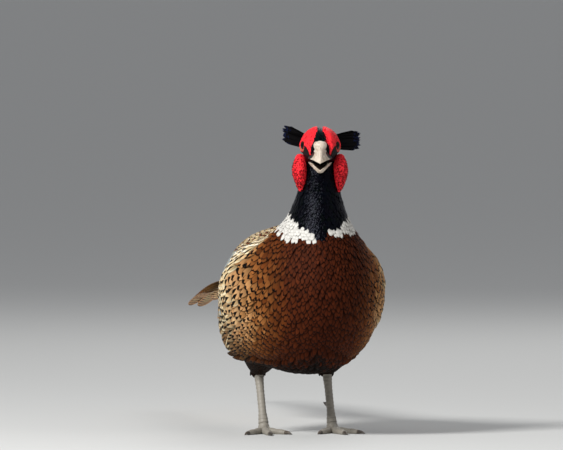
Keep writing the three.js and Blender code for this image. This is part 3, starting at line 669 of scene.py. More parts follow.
class Paint:
    """A material on the principled shader, and short ways to write its nodes."""

    def __init__(self, name, **finish):
        self.material = bpy.data.materials.new(name)
        self.material.use_nodes = True
        self.tree = self.material.node_tree
        self.shader = self.tree.nodes["Principled BSDF"]
        for socket, value in finish.items():
            self.shader.inputs[socket.replace("_", " ")].default_value = value

    def put(self, socket, value):
        if isinstance(value, Wire):
            self.tree.links.new(value.socket, socket)
        elif hasattr(value, "__len__") and len(value) < len(socket.default_value):
            socket.default_value = (*value, 1)
        else:
            socket.default_value = value

    def node(self, kind, values=(), output=0, **settings):
        made = self.tree.nodes.new("ShaderNode" + kind)
        for key, value in settings.items():
            setattr(made, key, value)
        for socket, value in dict(values).items():
            self.put(made.inputs[socket], value)
        return Wire(self, made.outputs[output])

    def attribute(self, name):
        return self.node("Attribute", output="Vector", attribute_name=name)

    def parts(self, vector):
        split = self.node("SeparateXYZ", {0: vector}).socket.node
        return [Wire(self, socket) for socket in split.outputs]

    def math(self, operation, *values):
        return self.node("Math", enumerate(values), operation=operation)

    def step(self, value, low, high):
        """0 below low and 1 above high, smooth between them."""
        values = enumerate([value, low, high, 0.0, 1.0])
        return self.node("MapRange", values, interpolation_type="SMOOTHSTEP")

    def mix(self, factor, a, b):
        return self.node("Mix", {0: factor, 6: a, 7: b}, output=2, data_type="RGBA")

    def scale(self, colour, factor):
        """A colour made lighter or darker by a factor."""
        return self.node("VectorMath", {0: colour, 3: factor}, operation="SCALE")

    def noise(self, vector, scale, detail=2.0, roughness=0.5):
        values = {"Vector": vector, "Scale": scale, "Detail": detail, "Roughness": roughness}
        return self.node("TexNoise", values)

    def stretched(self, vector, factors):
        return self.node("VectorMath", {0: vector, 1: factors}, operation="MULTIPLY")

    def colour(self, value):
        self.put(self.shader.inputs["Base Color"], value)

    def bump(self, height, distance, strength=1.0):
        values = {"Height": height, "Distance": distance, "Strength": strength}
        self.put(self.shader.inputs["Normal"], self.node("Bump", values))


# Radians that the bars run through along a feather, for each unit of the first number in its marking
BAR_PHASE = 200.0


def plumage(name, barbs=0.3, bars=False, **finish):
    """Feathers: marked tips, fringes and streaks from the numbers that each feather carries."""
    paint = Paint(name, **finish)
    vane = paint.attribute("vane")
    across, along, chance = paint.parts(vane)
    tip, edge, streak = paint.parts(paint.attribute("marking"))
    off = abs(across)
    shake = (paint.noise(paint.stretched(vane, (6.0, 4.0, 40.0)), 1.0, 3.0, 0.6) - 0.5) * 0.3
    # The fringe runs round the sides and the tip, 0 at the middle of the vane and 1 at its edge.
    far = paint.math("MAXIMUM", paint.math("DIVIDE", along - 0.45, 0.55), 0.0)
    rim = (off**3.0 + far**3.0) ** (1 / 3) + shake
    rim_at = 1.0 - edge
    on_rim = paint.step(rim, rim_at, rim_at + 0.1)
    # A streak below 0 is the width of a black line inside the fringe.
    line_at = rim_at + streak
    on_line = paint.step(rim, line_at, line_at + 0.05) * (streak < -0.01)
    colour = paint.mix(on_line, paint.attribute("ground"), paint.attribute("mark"))
    colour = paint.mix(on_rim, colour, paint.attribute("fringe"))
    if bars:
        wave = paint.math("SINE", along * (tip * BAR_PHASE) + off * 1.5)
        on_tip = paint.step(wave + shake, 0.2, 0.55) * paint.step(off, 0.95, 0.6)
    else:
        # The mark at the tip is a band where it is short and a wedge where it is long.
        wedge = along - off * (tip * tip * 3.0) + shake * 0.35
        tip_at = 0.98 - tip
        on_tip = paint.step(wedge, tip_at, tip_at + 0.05) * paint.step(tip, 0.01, 0.03)
    on_streak = (off < streak) * paint.step(along, 0.25, 0.4)
    colour = paint.mix(paint.math("MAXIMUM", on_tip, on_streak), colour, paint.attribute("mark"))
    # Barbs run out and forward from the shaft, and a little light and dark runs along them.
    lie = {0: across * 1.5, 1: (along - off * 0.35) * 26.0, 2: chance * 50.0}
    barb = paint.noise(paint.node("CombineXYZ", lie), 1.0, 3.0, 0.65)
    light = (barb * barbs + (1.0 - barbs / 2)) * (1.0 - paint.step(off, 0.09, 0.03) * 0.12)
    # Painted shade: the base of each vane is darker, under the feather that lies over it.
    painted_root_shade = paint.step(along, 0.3, 0.8) * 0.5 + 0.55
    paint.colour(paint.scale(colour, light * painted_root_shade))
    paint.bump(barb, 0.0004, 0.4)
    return paint.material


PLUMAGE = plumage("plumage", Roughness=0.6, Specular_IOR_Level=0.04)
GLOSSY = plumage(
    "glossy_plumage", barbs=0.6, Roughness=0.24, Metallic=0.1, Specular_IOR_Level=0.07,
    Specular_Tint=(0.8, 0.82, 1.0, 1),
)  # fmt: skip
BARRED = plumage("barred_plumage", bars=True, Roughness=0.6, Specular_IOR_Level=0.15)


def skin_paint():
    soft = {"Subsurface_Weight": 0.06, "Subsurface_Scale": 0.001}
    paint = Paint("bare_skin", Roughness=0.55, Specular_IOR_Level=0.12, **soft)
    red, height, _ = paint.parts(paint.attribute("bare"))
    place = paint.attribute("spot")
    scarlet = paint.mix(paint.noise(place, 1.6, 3.0, 0.6), srgb("ee1420"), srgb("ff3b46"))
    # Painted shade: the skin between the warts is a darker red.
    scarlet = paint.mix(paint.step(height, 0.5, 0.0), scarlet, srgb("a00d15"))
    paint.colour(paint.mix(red, paint.attribute("ground"), scarlet))
    paint.bump(paint.noise(place, 3.0, 3.0), 0.0003, 0.5)
    return paint.material


def inside_by(y, z, outline):
    """How far points lie inside a closed outline, below 0 outside it."""
    far = np.full(y.shape, np.inf)
    inside = np.zeros(y.shape, bool)
    for (y0, z0), (y1, z1) in zip(outline, outline[1:] + outline[:1]):
        inside ^= ((z0 > z) != (z1 > z)) & (y < (y1 - y0) * (z - z0) / (z1 - z0 + 1e-12) + y0)
        s = ((y - y0) * (y1 - y0) + (z - z0) * (z1 - z0)) / ((y1 - y0) ** 2 + (z1 - z0) ** 2)
        s = np.clip(s, 0, 1)
        far = np.minimum(far, np.hypot(y - y0 - s * (y1 - y0), z - z0 - s * (z1 - z0)))
    return np.where(inside, far, -far)


def on_comb(p):
    """How far points in the head's frame lie inside the comb's edge, below 0 outside it."""
    side = np.abs(p[:, 0])
    lore = np.interp(p[:, 2], *LORE) - side + np.maximum(0, p[:, 1] - LORE_END)
    edges = inside_by(p[:, 1], p[:, 2], COMB_OUTLINE), side - np.interp(p[:, 2], *STRIPE), lore
    return np.minimum.reduce(edges)


def on_wattle(p):
    """How far points in the head's frame lie inside the cheek's edge, about, below 0 outside it."""
    y, z = (p[:, 1] - WATTLE[1]) / WATTLE_SIZE[1], (p[:, 2] - WATTLE[2]) / WATTLE_SIZE[2]
    return np.where(np.abs(p[:, 0]) > CHEEK_INNER, (1 - np.hypot(y, z)) * WATTLE_SIZE[1], FAR_OUTSIDE)


# Numbers without a pattern, which turn a place in space into chance
HASH = [[12.99, 39.35, 73.16], [78.23, 11.14, 52.24], [37.72, 83.16, 9.15]]
HASH_SCALE = 4375.85


def grains(p, size):
    """Heights of uneven warts in space: 1 at the middle of each and 0 between them."""
    cell = np.floor(p / size)
    nearest = np.full(len(p), np.inf)
    for step in np.ndindex(3, 3, 3):
        at = cell + np.array(step) - 1
        middle = (at + 0.5 + 0.8 * (np.sin(at @ HASH) * HASH_SCALE % 1 - 0.5)) * size
        nearest = np.minimum(nearest, np.linalg.norm(p - middle, axis=1))
    return np.clip(1 - (nearest / size / 0.72) ** 2, 0, 1)


# Size and height of the warts, and how far the cheek's red goes past its solid
CHEEK_WARTS = (1.5, 0.5)
COMB_WARTS = (1.2, 0.3)
CHEEK_REACH = 1.2


def face_skin():
    """Skin of the head with combs and cheeks: points, faces, share of red and height of the warts."""
    fill = tube(lambda t, a: skull(t, a, 0.4), np.linspace(0, SKULL_END, 40), 48)
    combs, wattles = ([node_skin(f"{part}_{name}") for name in SIDES] for part in ("comb", "wattle"))
    points, faces, normals = remeshed([fill, node_skin("head"), *combs, *wattles], "face")
    tree = BVHTree.FromPolygons(*[x.tolist() for x in joined(wattles)])
    cheek = CHEEK_REACH - np.array([tree.find_nearest(Vector(p), 3)[3] or 9 for p in points])
    p = to_head(points)
    comb = on_comb(p) + 0.35
    red = smooth(np.maximum(comb, cheek) / 0.6)
    height = np.where(cheek > comb, grains(p, CHEEK_WARTS[0]), grains(p, COMB_WARTS[0]))
    rise = red * np.where(cheek > comb, CHEEK_WARTS[1], COMB_WARTS[1]) * height
    return points + normals * rise[:, None], faces, red, height


# Skin


# Depth of the skin under the feathers, at stations of body and neck and on the thighs
SKIN_DEPTH = ([0, 4, 7, 15, 17], [1.5, 2, 3, 3, 2.5])
THIGH_DEPTH = 2.0
# Last station of the black skin of the neck
NECK_END = 5.4


def skin():
    """One skin for body, neck, head, combs and wattles, inside the solids by the depth of the coat."""
    trunk = tube(lambda t, a: body(t, a, -np.interp(t, *SKIN_DEPTH)), np.linspace(0, BODY_END, 90), 72)
    thighs = [thigh(side) for side in SIDES.values()]
    legs = [tube(lambda s, a, f=f: f(s, a, -THIGH_DEPTH), np.linspace(0, 1, 24), 40) for f in thighs]
    rough, rough_faces, _ = remeshed([trunk, *legs], "body")
    fine, fine_faces, red, height = face_skin()
    points, faces = joined([(rough, rough_faces), (fine, fine_faces)])
    in_head = to_head(fine)
    station, angle = nearest_place(rough)
    ground = body_colours(station, angle)["ground"] * 0.6
    ground = np.concatenate([np.where((station < NECK_END)[:, None], BLACK, ground), BLACK + 0 * fine])
    bare = np.concatenate([0 * rough, stacked(red, height, 0)])
    spot = np.concatenate([rough * 0.1, in_head])
    # The body's unwrap fills the left half of the map, and the head's the right half.
    turn = np.arctan2(in_head[:, 2], in_head[:, 0]) / (2 * np.pi) + 0.5
    body_map = stacked(0.5 * (angle / (2 * np.pi) % 1), station / BODY_END)
    head_map = stacked(0.5 + 0.5 * turn, 0.5 + in_head[:, 1] / 80)
    unwrap = 0.01 + 0.98 * np.concatenate([body_map, head_map])
    data = {"ground": ground, "bare": bare, "spot": spot}
    pairs = [f"{part}_{name}" for part in ("comb", "wattle", "thigh") for name in SIDES]
    replaced = ["torso", "neck", "head", *pairs]
    piece = make_piece("skin", points, faces, skin_paint(), replaced, data, unwrap)
    return piece, fine, fine_faces


def nearest_place(points):
    """Station and angle of the body's surface nearest to each point."""
    t, a = np.meshgrid(np.linspace(0, BODY_END, 120), np.linspace(-np.pi, np.pi, 90), indexing="ij")
    t, a = t.ravel(), a.ravel()
    tree = KDTree(len(t))
    for i, p in enumerate(body(t, a)):
        tree.insert(p, i)
    tree.balance()
    found = np.array([tree.find(p)[1] for p in points])
    return t[found], a[found]


# Coat of the body


def body_place(root):
    return spread_out(root[:, 1] / (2 * np.pi) % 1, root[:, 0] / BODY_END)


# Distance between the rows: at degrees from the breast in front and further back, and along the neck
FRONT_ROWS = ([0, 30, 55, 80, 105, 135, 180], [3.9, 4.1, 5.4, 7.4, 8.0, 5.8, 5.4])
REAR_ROWS = ([0, 50, 80, 110, 180], [5, 6, 8, 7, 6.4])
NECK_ROWS = ([0, 4, 5.5], [2.4, 2.6, 3.0])


def body_size(t, a):
    """Distance between the rows of feathers on body and neck."""
    r = from_breast(a)
    low = mix(np.interp(r, *FRONT_ROWS), np.interp(r, *REAR_ROWS), smooth((t - 8.5) / 2))
    return mix(np.interp(t, *NECK_ROWS), low, smooth((t - 4.8) / 2.6))


# Where the white ring is to be seen: degrees from the breast, its upper and its lower station, on each side
RING = {
    "right": (
        [0, 21, 35, 60, 81, 106, 180],
        [(5.7, 5.6), (5.52, 5.68), (5.42, 5.85), (5.15, 5.93), (4.87, 5.93), (4.65, 5.85), (4.45, 5.6)],
    ),
    "left": (
        [0, 10, 25, 48, 79, 106, 180],
        [(5.5, 5.4), (5.32, 5.45), (5.2, 5.53), (4.97, 5.58), (4.82, 5.85), (4.65, 5.85), (4.45, 5.6)],
    ),
}
# How far the feathers reach past their roots, in stations
RING_REACH = 0.6


def collar(t, a):
    """Upper and lower station of the roots of the white ring at an angle. It is open at the front."""
    right, left = (ramp(from_breast(a), *RING[name]).T for name in SIDES)
    shake = 0.05 * np.sin(9 * a) + 0.04 * np.sin(23 * a + 1) + 0.05 * rng.normal(size=len(t))
    return np.where(np.cos(a) > 0, left, right) - RING_REACH + shake


# Height of the flank feathers where they cover the wing
FLANK_RISE = 3.0


def flanks(t, a, h=0):
    """The body where the flank feathers lie, which cover the front of the wing."""
    up = elevation(a)
    over = smooth((t - 7.2) / 1.8) * smooth((up + 46) / 36) * smooth((15 - t) / 3)
    return body(t, a, h + FLANK_RISE * over * (1 - 0.9 * smooth((up - 5) / 25)))


# Last station of the flank feathers' roots, at each elevation, and how far up the wing hides the body
FLANK_END = ([-90, -40, -24, -10, 8, 20, 34, 48, 60], [16.2, 16.2, 13.2, 11.6, 10.3, 9.6, 8.9, 8.3, 8.0])
UNDER_WING = {"low": -10, "high": 52, "end": 13}

# Each kind of body feather: length and half width for each millimetre between rows, lift at root and tip,
# outline, lines of points along and across, and its slot
BODY_KINDS = {
    "neck": (3.2, 0.78, (-0.6, 1.3), long_tip, (6, 5), "plumage_black"),
    "collar": (2.9, 0.82, (-0.2, 2.2), round_tip, (8, 7), "plumage_chestnut"),
    "breast": (3.2, 0.64, (-0.6, 2.4), long_tip, (8, 7), "plumage_chestnut"),
    "flanks": (2.7, 0.64, (-0.8, 2.8), round_tip, (9, 7), "plumage_chestnut"),
    "mantle": (3.2, 0.66, (-0.6, 1.8), long_tip, (8, 5), "plumage_chestnut"),
    "rump": (3.6, 0.6, (-0.8, 2.0), long_tip, (8, 5), "plumage_chestnut"),
    "belly": (3.4, 0.66, (-0.8, 5.2), long_tip, (7, 5), "plumage_dark"),
}


def body_coat():
    roots = shingle(body, (0.3, 16.2), (-np.pi / 2, 1.5 * np.pi), body_size)
    up = elevation(roots[:, 1])
    hidden = (up > UNDER_WING["low"]) & (up < UNDER_WING["high"]) & (roots[:, 0] < UNDER_WING["end"])
    roots = roots[~(hidden & (roots[:, 0] > np.interp(up, *FLANK_END)))]
    t, a = roots.T
    r = from_breast(a)
    upper, lower = collar(t, a)
    white = (t > upper) & (t < lower)
    neck = ~white & (t < np.maximum(upper, lower))
    rest = ~white & ~neck
    rump = rest & (r > 105) & (t > 9.8)
    belly = rest & (t > ramp(r, *BELLY)) & (r < 54)
    mantle = rest & (r > 126) & ~rump
    breast = rest & (r <= 64) & ~belly
    masks = {"neck": neck, "collar": white, "breast": breast, "mantle": mantle, "rump": rump, "belly": belly}
    masks["flanks"] = rest & ~(breast | mantle | rump | belly)
    gap = body_size(t, a)
    for kind, mask in masks.items():
        length, half, lift, outline, (rows, columns), slot = BODY_KINDS[kind]
        root = roots[mask]
        count = len(root)
        size = gap[mask] * uneven(count, 0.07)
        raised = 0.25 * rng.normal(size=count)
        if kind == "neck":
            colours = gloss_colours(count)
        elif kind == "collar":
            # The white feathers' grey fringe is painted shade at their edges.
            colours = plain_colours(count, WHITE, srgb("bfbcb5"), marking=(0, 0.25, 0), amount=0.05)
        else:
            colours = body_colours(*root.T)
        made = lay(
            flanks if kind == "flanks" else body, root, size * length, size * half,
            (lift[0] + raised, lift[1] + raised), rows=rows, columns=columns, outline=outline,
            arch=0.2, ragged=0.05, colours=colours, place=body_place(root),
        )  # fmt: skip
        coat(f"coat_{kind}", [made], GLOSSY if kind == "neck" else PLUMAGE)


# Wings


def row_of(count, first, last, half, lift, upper_lift, layer):
    """Roots, tips and sizes of a row of wing feathers between a first and a last one, on the left side."""
    s = np.linspace(0, 1, count)[:, None]
    ends = zip(np.reshape(first, (2, 2)), np.reshape(last, (2, 2)))
    root, tip = (mix(low, high, s) * [1, math.pi / 180] for low, high in ends)
    tip = tip + rng.normal(size=(count, 1)) * [[0.03, 0]]
    apart = np.linalg.norm(np.diff(body(*tip.T), axis=0), axis=-1).mean()
    half, low, high = (mix(*ends, s[:, 0]) for ends in (half, *zip(lift, upper_lift)))
    return root, tip, half, (low, high), layer / apart


# Each row: kind, count, and for the first and the last feather the station and degrees of root and tip, then
# the half widths of both, the lift at root and tip of each, and how much higher each lies than the next
WING_ROWS = [
    ("quill", 7, (11.4, -4, 14.5, 1), (11.7, 14, 15.5, 24), (7, 7), (2.2, 3.2), (2.2, 3.2), 1.0),
    ("quill", 12, (10.7, -13, 13.3, -7), (11.1, 38, 15, 42), (9, 10), (3.0, 6.0), (1.6, 3.6), 1.2),
    ("tertial", 5, (10.6, 42, 14.2, 50), (10.6, 60, 13.4, 67), (10, 11.5), (2.6, 5.2), (1.8, 4.2), 1.4),
    ("greater", 14, (9.7, -12, 11.7, -14), (9.9, 52, 12.2, 57), (7, 8), (2.6, 6.4), (1.4, 4.2), 1.0),
    ("small", 13, (9.1, -10, 10.9, -12), (9.2, 50, 11.3, 56), (7, 8), (1.8, 5.4), (0.8, 3.2), 1.0),
    ("small", 13, (8.5, -8, 10.1, -10), (8.6, 50, 10.5, 56), (6.5, 8), (0.8, 4.2), (0.2, 2.4), 1.0),
    ("small", 12, (8.0, -4, 9.4, -6), (8.1, 50, 9.8, 56), (6, 7.5), (0, 3.0), (0, 1.6), 0.9),
]


# Of each kind: colours of the middle, the fringe and the marks, how wide these are, and how much they differ
WING_COLOURS = {
    "quill": (BROWN, srgb("9a7b55"), BUFF, (0.22, 0.1, 0.0), 0.05),
    "tertial": (srgb("7a6a50"), CHESTNUT, srgb("4a3a2a"), (0.0, 0.22, 0.12), 0.06),
    "greater": (srgb("8b8577"), srgb("a37a4e"), BROWN, (0.0, 0.2, 0.1), 0.06),
    "small": (SLATE, srgb("b2a58c"), BROWN, (0.0, 0.16, 0.08), 0.06),
}


# Feathers of the shoulder: where their roots lie, the distance between rows, the length and the half width
SCAPULARS = {"stations": (7.5, 10.9), "elevations": (40, 80), "apart": 6.2, "length": 21, "half": 4.4}
# Their height over the body, at stations
SCAPULAR_RISE = ([7.5, 8.5, 10, 12], [0, 0.7, 2.8, 4.8])


def wing(name, side):
    def surface(t, a, h=0):
        return body(t, a, h) * [side, 1, 1]

    batches = {"quills": [], "coverts": []}
    for kind, count, *row in WING_ROWS:
        root, tip, half, lift, slope = row_of(count, *row)
        long = kind in ("quill", "tertial")
        made = vanes(
            surface, root, tip, half, lift, rows=16 if long else 10, columns=7, outline=round_tip,
            arch=0.08, slope=slope, ragged=0.01 if long else 0.02,
            colours=plain_colours(count, *WING_COLOURS[kind]), place=body_place(root),
        )  # fmt: skip
        batches["quills" if kind == "quill" else "coverts"].append(made)
    batches["coverts"].append(scapulars(surface))
    for part, material in (("quills", BARRED), ("coverts", PLUMAGE)):
        coat(f"wing_{part}_{name}", batches[part], material, [f"wing_{name}"])


def scapulars(surface):
    """Feathers of the shoulder, over the upper edge of the wing."""
    low, high = np.radians(SCAPULARS["elevations"])
    root = shingle(surface, SCAPULARS["stations"], (low, high), lambda t, a: 0 * t + SCAPULARS["apart"])
    t, a = root.T
    count = len(root)
    ground, fringe, marking = round_body(140 + 8 * rng.normal(size=count))
    fringe = blend(fringe, MOSS, smooth((t - 9.6) / 1.4))
    colours = colouring(ground, fringe, BLACK, marking * [1, 1.1, 1], (0.14, 0.12))
    on_wing = mix(0.6, 1, smooth((70 - np.degrees(a)) / 20))
    lift = (on_wing * np.interp(t, *SCAPULAR_RISE) - 0.4, on_wing * np.interp(t + 0.8, *SCAPULAR_RISE) + 1.6)
    length = SCAPULARS["length"] * uneven(count, 0.06)
    half = SCAPULARS["half"] * uneven(count, 0.06)
    return lay(surface, root, length, half, lift, spread=0.07, rows=11, columns=7, outline=round_tip,
               arch=0.14, slope=0.06, ragged=0.02, colours=colours, place=body_place(root))  # fmt: skip


# Tail


def tail_outline(s):
    return quill_tip(s) * mix(1, 0.4, smooth((s - 0.3) / 0.6))


# Half width of the middle and the outermost pair, and the distance between bars and between layers
TAIL_HALF = (16.0, 11.0)
BAR_STEP = 16
LAYER_STEP = 1.3
# Colours of the middle, the fringe and the bars
TAIL_COLOURS = srgb("bfa272"), srgb("b08358"), srgb("1c140f")


def tail_feathers():
    batches = []
    for pair in range(TAIL_PAIRS):
        share = pair / (TAIL_PAIRS - 1)
        length = TAIL_LENGTH * mix(1, TAIL_SHORTEST, share**0.75)
        bars = length / BAR_STEP * 2 * math.pi / BAR_PHASE
        for side in (-1, 1):
            # The feathers of the three middle pairs each have a layer. Further out the sides share one.
            layer = 2 * pair + (side > 0) if pair < 3 else pair + 3
            high = LAYER_STEP * (4.5 - layer)
            root = np.array([[0.0, side * mix(2, 9, share)]])
            tip = np.array([[length, side * mix(5, 34, share)]])
            colours = plain_colours(1, *TAIL_COLOURS, (bars, 0.16, 0.0), 0.03)
            batches.append(vanes(
                tail, root, tip, np.array([mix(*TAIL_HALF, share)]), (high, high), rows=48, columns=9,
                outline=tail_outline, arch=0.05, bend=lambda s: smooth(1.15 * s), ragged=0.003,
                colours=colours, place=stacked([0.5 + side * mix(0.05, 0.4, share)], 0.1 + 0.02 * pair),
            ))  # fmt: skip
    coat("tail_feathers", batches, BARRED, ["tail"])


# Each row: count, where roots and tips are along the tail, height there, reach aside, half width
TAIL_COVERTS = [
    (9, (-8, 105), (9.0, 8.0), 13, 6.5),
    (11, (-14, 74), (11.5, 10.5), 15, 6.5),
    (11, (-22, 50), (13.5, 12.4), 16, 6.0),
    (11, (-34, 30), (14.0, 13.6), 17, 5.5),
    (9, (-10, 75), (-12, -12.6), 11, 6.5),
    (9, (-24, 48), (-14, -13.4), 13, 6.0),
]


def tail_coverts():
    batches = []
    for count, back, height, aside, half in TAIL_COVERTS:
        off = np.linspace(-1, 1, count)
        root = stacked(back[0], 0.75 * aside * off)
        length = back[1] * (1 - 0.18 * off**2) * uneven(count, 0.04)
        under = height[0] < 0
        batches.append(vanes(
            tail, root, stacked(length, aside * off), np.full(count, half), height, rows=14, columns=5,
            outline=long_tip, slope=0.12, ragged=0.02,
            colours=plain_colours(count, RUST if under else SAGE, RUST, DARK, (0, 0.3, 0), 0.1),
            place=stacked(0.5 + 0.4 * off * (0.9 if under else 1), 0.5 + back[0] / 100),
        ))  # fmt: skip
    coat("tail_coverts", batches, PLUMAGE, ["tail"])


# Head


# Distance between the rows of feathers, at stations of the skull
HEAD_ROWS = ([0, 4, 6, 8], [2.3, 1.8, 1.5, 1.2])
# Length of a feather for each millimetre between rows
HEAD_LENGTH = 2.7


def head_coat():
    size = lambda t, a: np.interp(t, *HEAD_ROWS)
    bare = lambda p: np.maximum(on_comb(to_head(p)), on_wattle(to_head(p)))
    roots = shingle(skull, (0.4, 8.7), (-np.pi / 2, 1.5 * np.pi), size, aspect=1.0)
    roots = roots[bare(skull(*roots.T)) < 0.1]
    gap = size(*roots.T)
    count = len(roots)
    length = HEAD_LENGTH * gap * uneven(count, 0.1)
    # The feathers in front of the bare skin are short, so that their tips don't cover it.
    per_station = scale_of(skull, roots)[:, 0]
    for share in (0.7, 0.5, 0.35):
        tip = skull(roots[:, 0] - length / per_station, roots[:, 1])
        length = np.where(bare(tip) > 0.8, HEAD_LENGTH * gap * share, length)
    colours = gloss_colours(count)
    crown = (np.sin(roots[:, 1:]) > 0.6) & (rng.random((count, 1)) < 0.6)
    colours["ground"] = np.where(crown, GREEN * 0.15, colours["ground"])
    made = lay(skull, roots, length, 0.85 * gap, (-0.3, 0.9), heading=math.pi, rows=5, columns=3,
               outline=long_tip, arch=0.3, ragged=0.05, colours=colours,
               place=spread_out(roots[:, 1] / (2 * np.pi) % 1, roots[:, 0] / 9))  # fmt: skip
    coat("coat_head", [made], GLOSSY)


# Short black feathers on the cheek: distance between rows, and from one to the next in a row
FLAKE_ROWS = 2.0
FLAKE_STEP = 1.9
# Distance between those on the comb, back and up
COMB_GRID = (3.6, 3.4)


def cheek_ring(angle, z):
    """Points round the cheek at a height over its middle, a little outside it."""
    x, y, high = WATTLE_SIZE
    wide = math.sqrt(1 - (z / high) ** 2)
    return WATTLE + stacked(1.15 * x * wide * np.cos(angle), y * wide * np.sin(angle), z)


def flakes(name, side, face):
    """Short black feathers in rows on the cheek, a few on the comb. face is the tree of the head's skin."""
    guesses = []
    angle = np.linspace(-2.0, 2.0, 80)
    for k, z in enumerate(np.arange(-15.6, 16, FLAKE_ROWS)):
        steps = np.linalg.norm(np.diff(cheek_ring(angle, z), axis=0), axis=1)
        run = np.concatenate([[0], np.cumsum(steps)])
        count = max(1, round(run[-1] / FLAKE_STEP))
        at = np.interp((np.arange(count) + 0.25 + 0.5 * (k % 2)) * run[-1] / count, run, angle)
        guesses.append(cheek_ring(at, z))
    back, up = COMB_GRID
    y, z = (x.ravel() for x in np.meshgrid(np.arange(-20, 12, back), np.arange(-4, 22, up)))
    guesses.append(stacked(19.0, y + back / 2 * (np.round(z / up) % 2), z))
    guess = np.concatenate(guesses) * [side, 1, 1]
    guess = guess + 0.35 * rng.normal(size=guess.shape)
    found = [face.find_nearest(Vector(p)) for p in from_head(guess)]
    start = to_head(np.array([hit[0] for hit in found]))
    normal = np.array([hit[1] for hit in found]) @ HEAD_TURN
    low = start[:, 2] < -8
    keep = (low | (on_comb(start) > 1.2)) & (normal[:, 0] * side > -0.5) & (rng.random(len(start)) < 0.9)
    start, normal = start[keep], normal[keep]
    count = len(start)
    small = np.where(on_comb(start) > 0, 0.45, 0.72) * rng.uniform(0.7, 1.15, count)
    down = np.array([0, 0.35, -1]) + 0.15 * rng.normal(size=(count, 3))
    heading = unit(down - normal * (down * normal).sum(1, keepdims=True) + 0.08 * normal)
    across = unit(np.cross(heading, normal))
    surface = free_surface(start, heading, across, np.cross(across, heading), 0.02)
    place = np.clip(stacked(0.5 + start[:, 1] / 60, 0.6 + start[:, 2] / 90), 0.02, 0.98)
    made = vanes(surface, np.zeros((count, 2)), stacked(1.9 * small, 0), 0.72 * small, (0.1, 0.25), rows=4,
                 columns=3, outline=long_tip, arch=0.4, colours=plain_colours(count, BLACK),
                 place=place)  # fmt: skip
    coat(f"face_flakes_{name}", [made], PLUMAGE)


# Ear tufts: how far each points up, and back, for a step outward, and its length
TUFT_POSE = {"right": (0.42, 0.45, 28), "left": (0.14, 0.3, 29)}
TUFT_LOCKS = 120


def free_surface(start, heading, across, up, curve):
    """A surface for each feather, in millimetres from its start. The first coordinate runs along it."""

    def surface(u, v, h=0):
        shape = (len(start),) + (1,) * (np.ndim(u) - 1) + (3,)
        s, f, w, n = (x.reshape(shape) for x in (start, heading, across, up))
        u, v, h = (x[..., None] for x in np.broadcast_arrays(u, v, h))
        return from_head(s + f * u + w * v + n * (h + curve * u**2))

    return surface


def ear_tuft(name, side):
    up, back, length = TUFT_POSE[name]
    s = rng.random(TUFT_LOCKS)
    start = stacked(side * 12.5, mix(17, 12.5, s), mix(8.5, -3, s))
    start = start + rng.normal(size=start.shape) * [0.3, 1.2, 0.5]
    spread = rng.normal(size=TUFT_LOCKS) * 0.05
    heading = unit(stacked(side, back + spread, up - 0.04 - 0.14 * s + spread))
    across = unit(np.cross(heading, np.cross([0, -0.1, 1], heading)))
    normal = np.cross(heading, across)
    reach = length * (1.0 - 0.14 * np.abs(s - 0.35)) * rng.uniform(0.74, 1.04, TUFT_LOCKS)
    surface = free_surface(start, heading, across, normal * -side, 0.0035)
    colours = plain_colours(TUFT_LOCKS, BLACK * 0.6, mark=srgb("3a4a8c") * 0.1, marking=(0.07, 0, 0))
    made = vanes(surface, np.zeros((TUFT_LOCKS, 2)), stacked(reach, 0), rng.uniform(0.9, 1.7, TUFT_LOCKS),
                 (0, 0), rows=10, columns=5, outline=blunt_tip, arch=0.3, ragged=0.03, colours=colours,
                 place=None)  # fmt: skip
    # The places are drawn by chance, after what vanes() draws.
    made["place"] = stacked(0.1 + 0.8 * s, rng.uniform(0.1, 0.9, TUFT_LOCKS))
    coat(f"ear_tuft_feathers_{name}", [made], GLOSSY, [f"ear_tuft_{name}"])


# Bill


def horn_paint(name, pale, dark):
    paint = Paint(name, Roughness=0.42)
    place = paint.attribute("spot")
    lines = paint.noise(paint.stretched(place, (1.1, 0.08, 0.5)), 1.0, 2.0)
    tone = (paint.noise(place, 0.12, 3.0, 0.5) + lines) * 0.5
    horn = paint.mix(paint.step(tone, 0.34, 0.6), srgb(dark), srgb(pale))
    # The mouth mask darkens the horn: the face's feathering over the sides of the upper bill, and painted
    # shade in the trough of the lower bill.
    mouth, _, _ = paint.parts(paint.attribute("mouth"))
    paint.colour(paint.mix(mouth, horn, srgb("1c100d")))
    paint.bump(lines, 0.0003, 0.2)
    return paint.material


# The swollen skin over the nostrils: middle and radii, in the head's frame
CERE = np.array([(0, -26.8, 0.6), (6.3, 6.2, 5.6)])
# How far the rim of the lower bill rises over its solid, and the width of its pale edge
RIM_RISE = 2.0
RIM_WIDTH = 1.8
# Where the feathers of the face reach over the sides of the bill: heights, and half the pale width there
BILL_SIDES = ([-13.5, -12, -10.5, -8, -5.5, -3, 6], [14, 10, 7.6, 5.6, 5.0, 6.8, 9])


def cere():
    def surface(u, a):
        ball = stacked(np.sin(u) * np.cos(a), -np.cos(u), np.sin(u) * np.sin(a))
        return from_head(CERE[0] + CERE[1] * ball)

    return tube(surface, np.linspace(0.05, np.pi - 0.05, 24), 32)


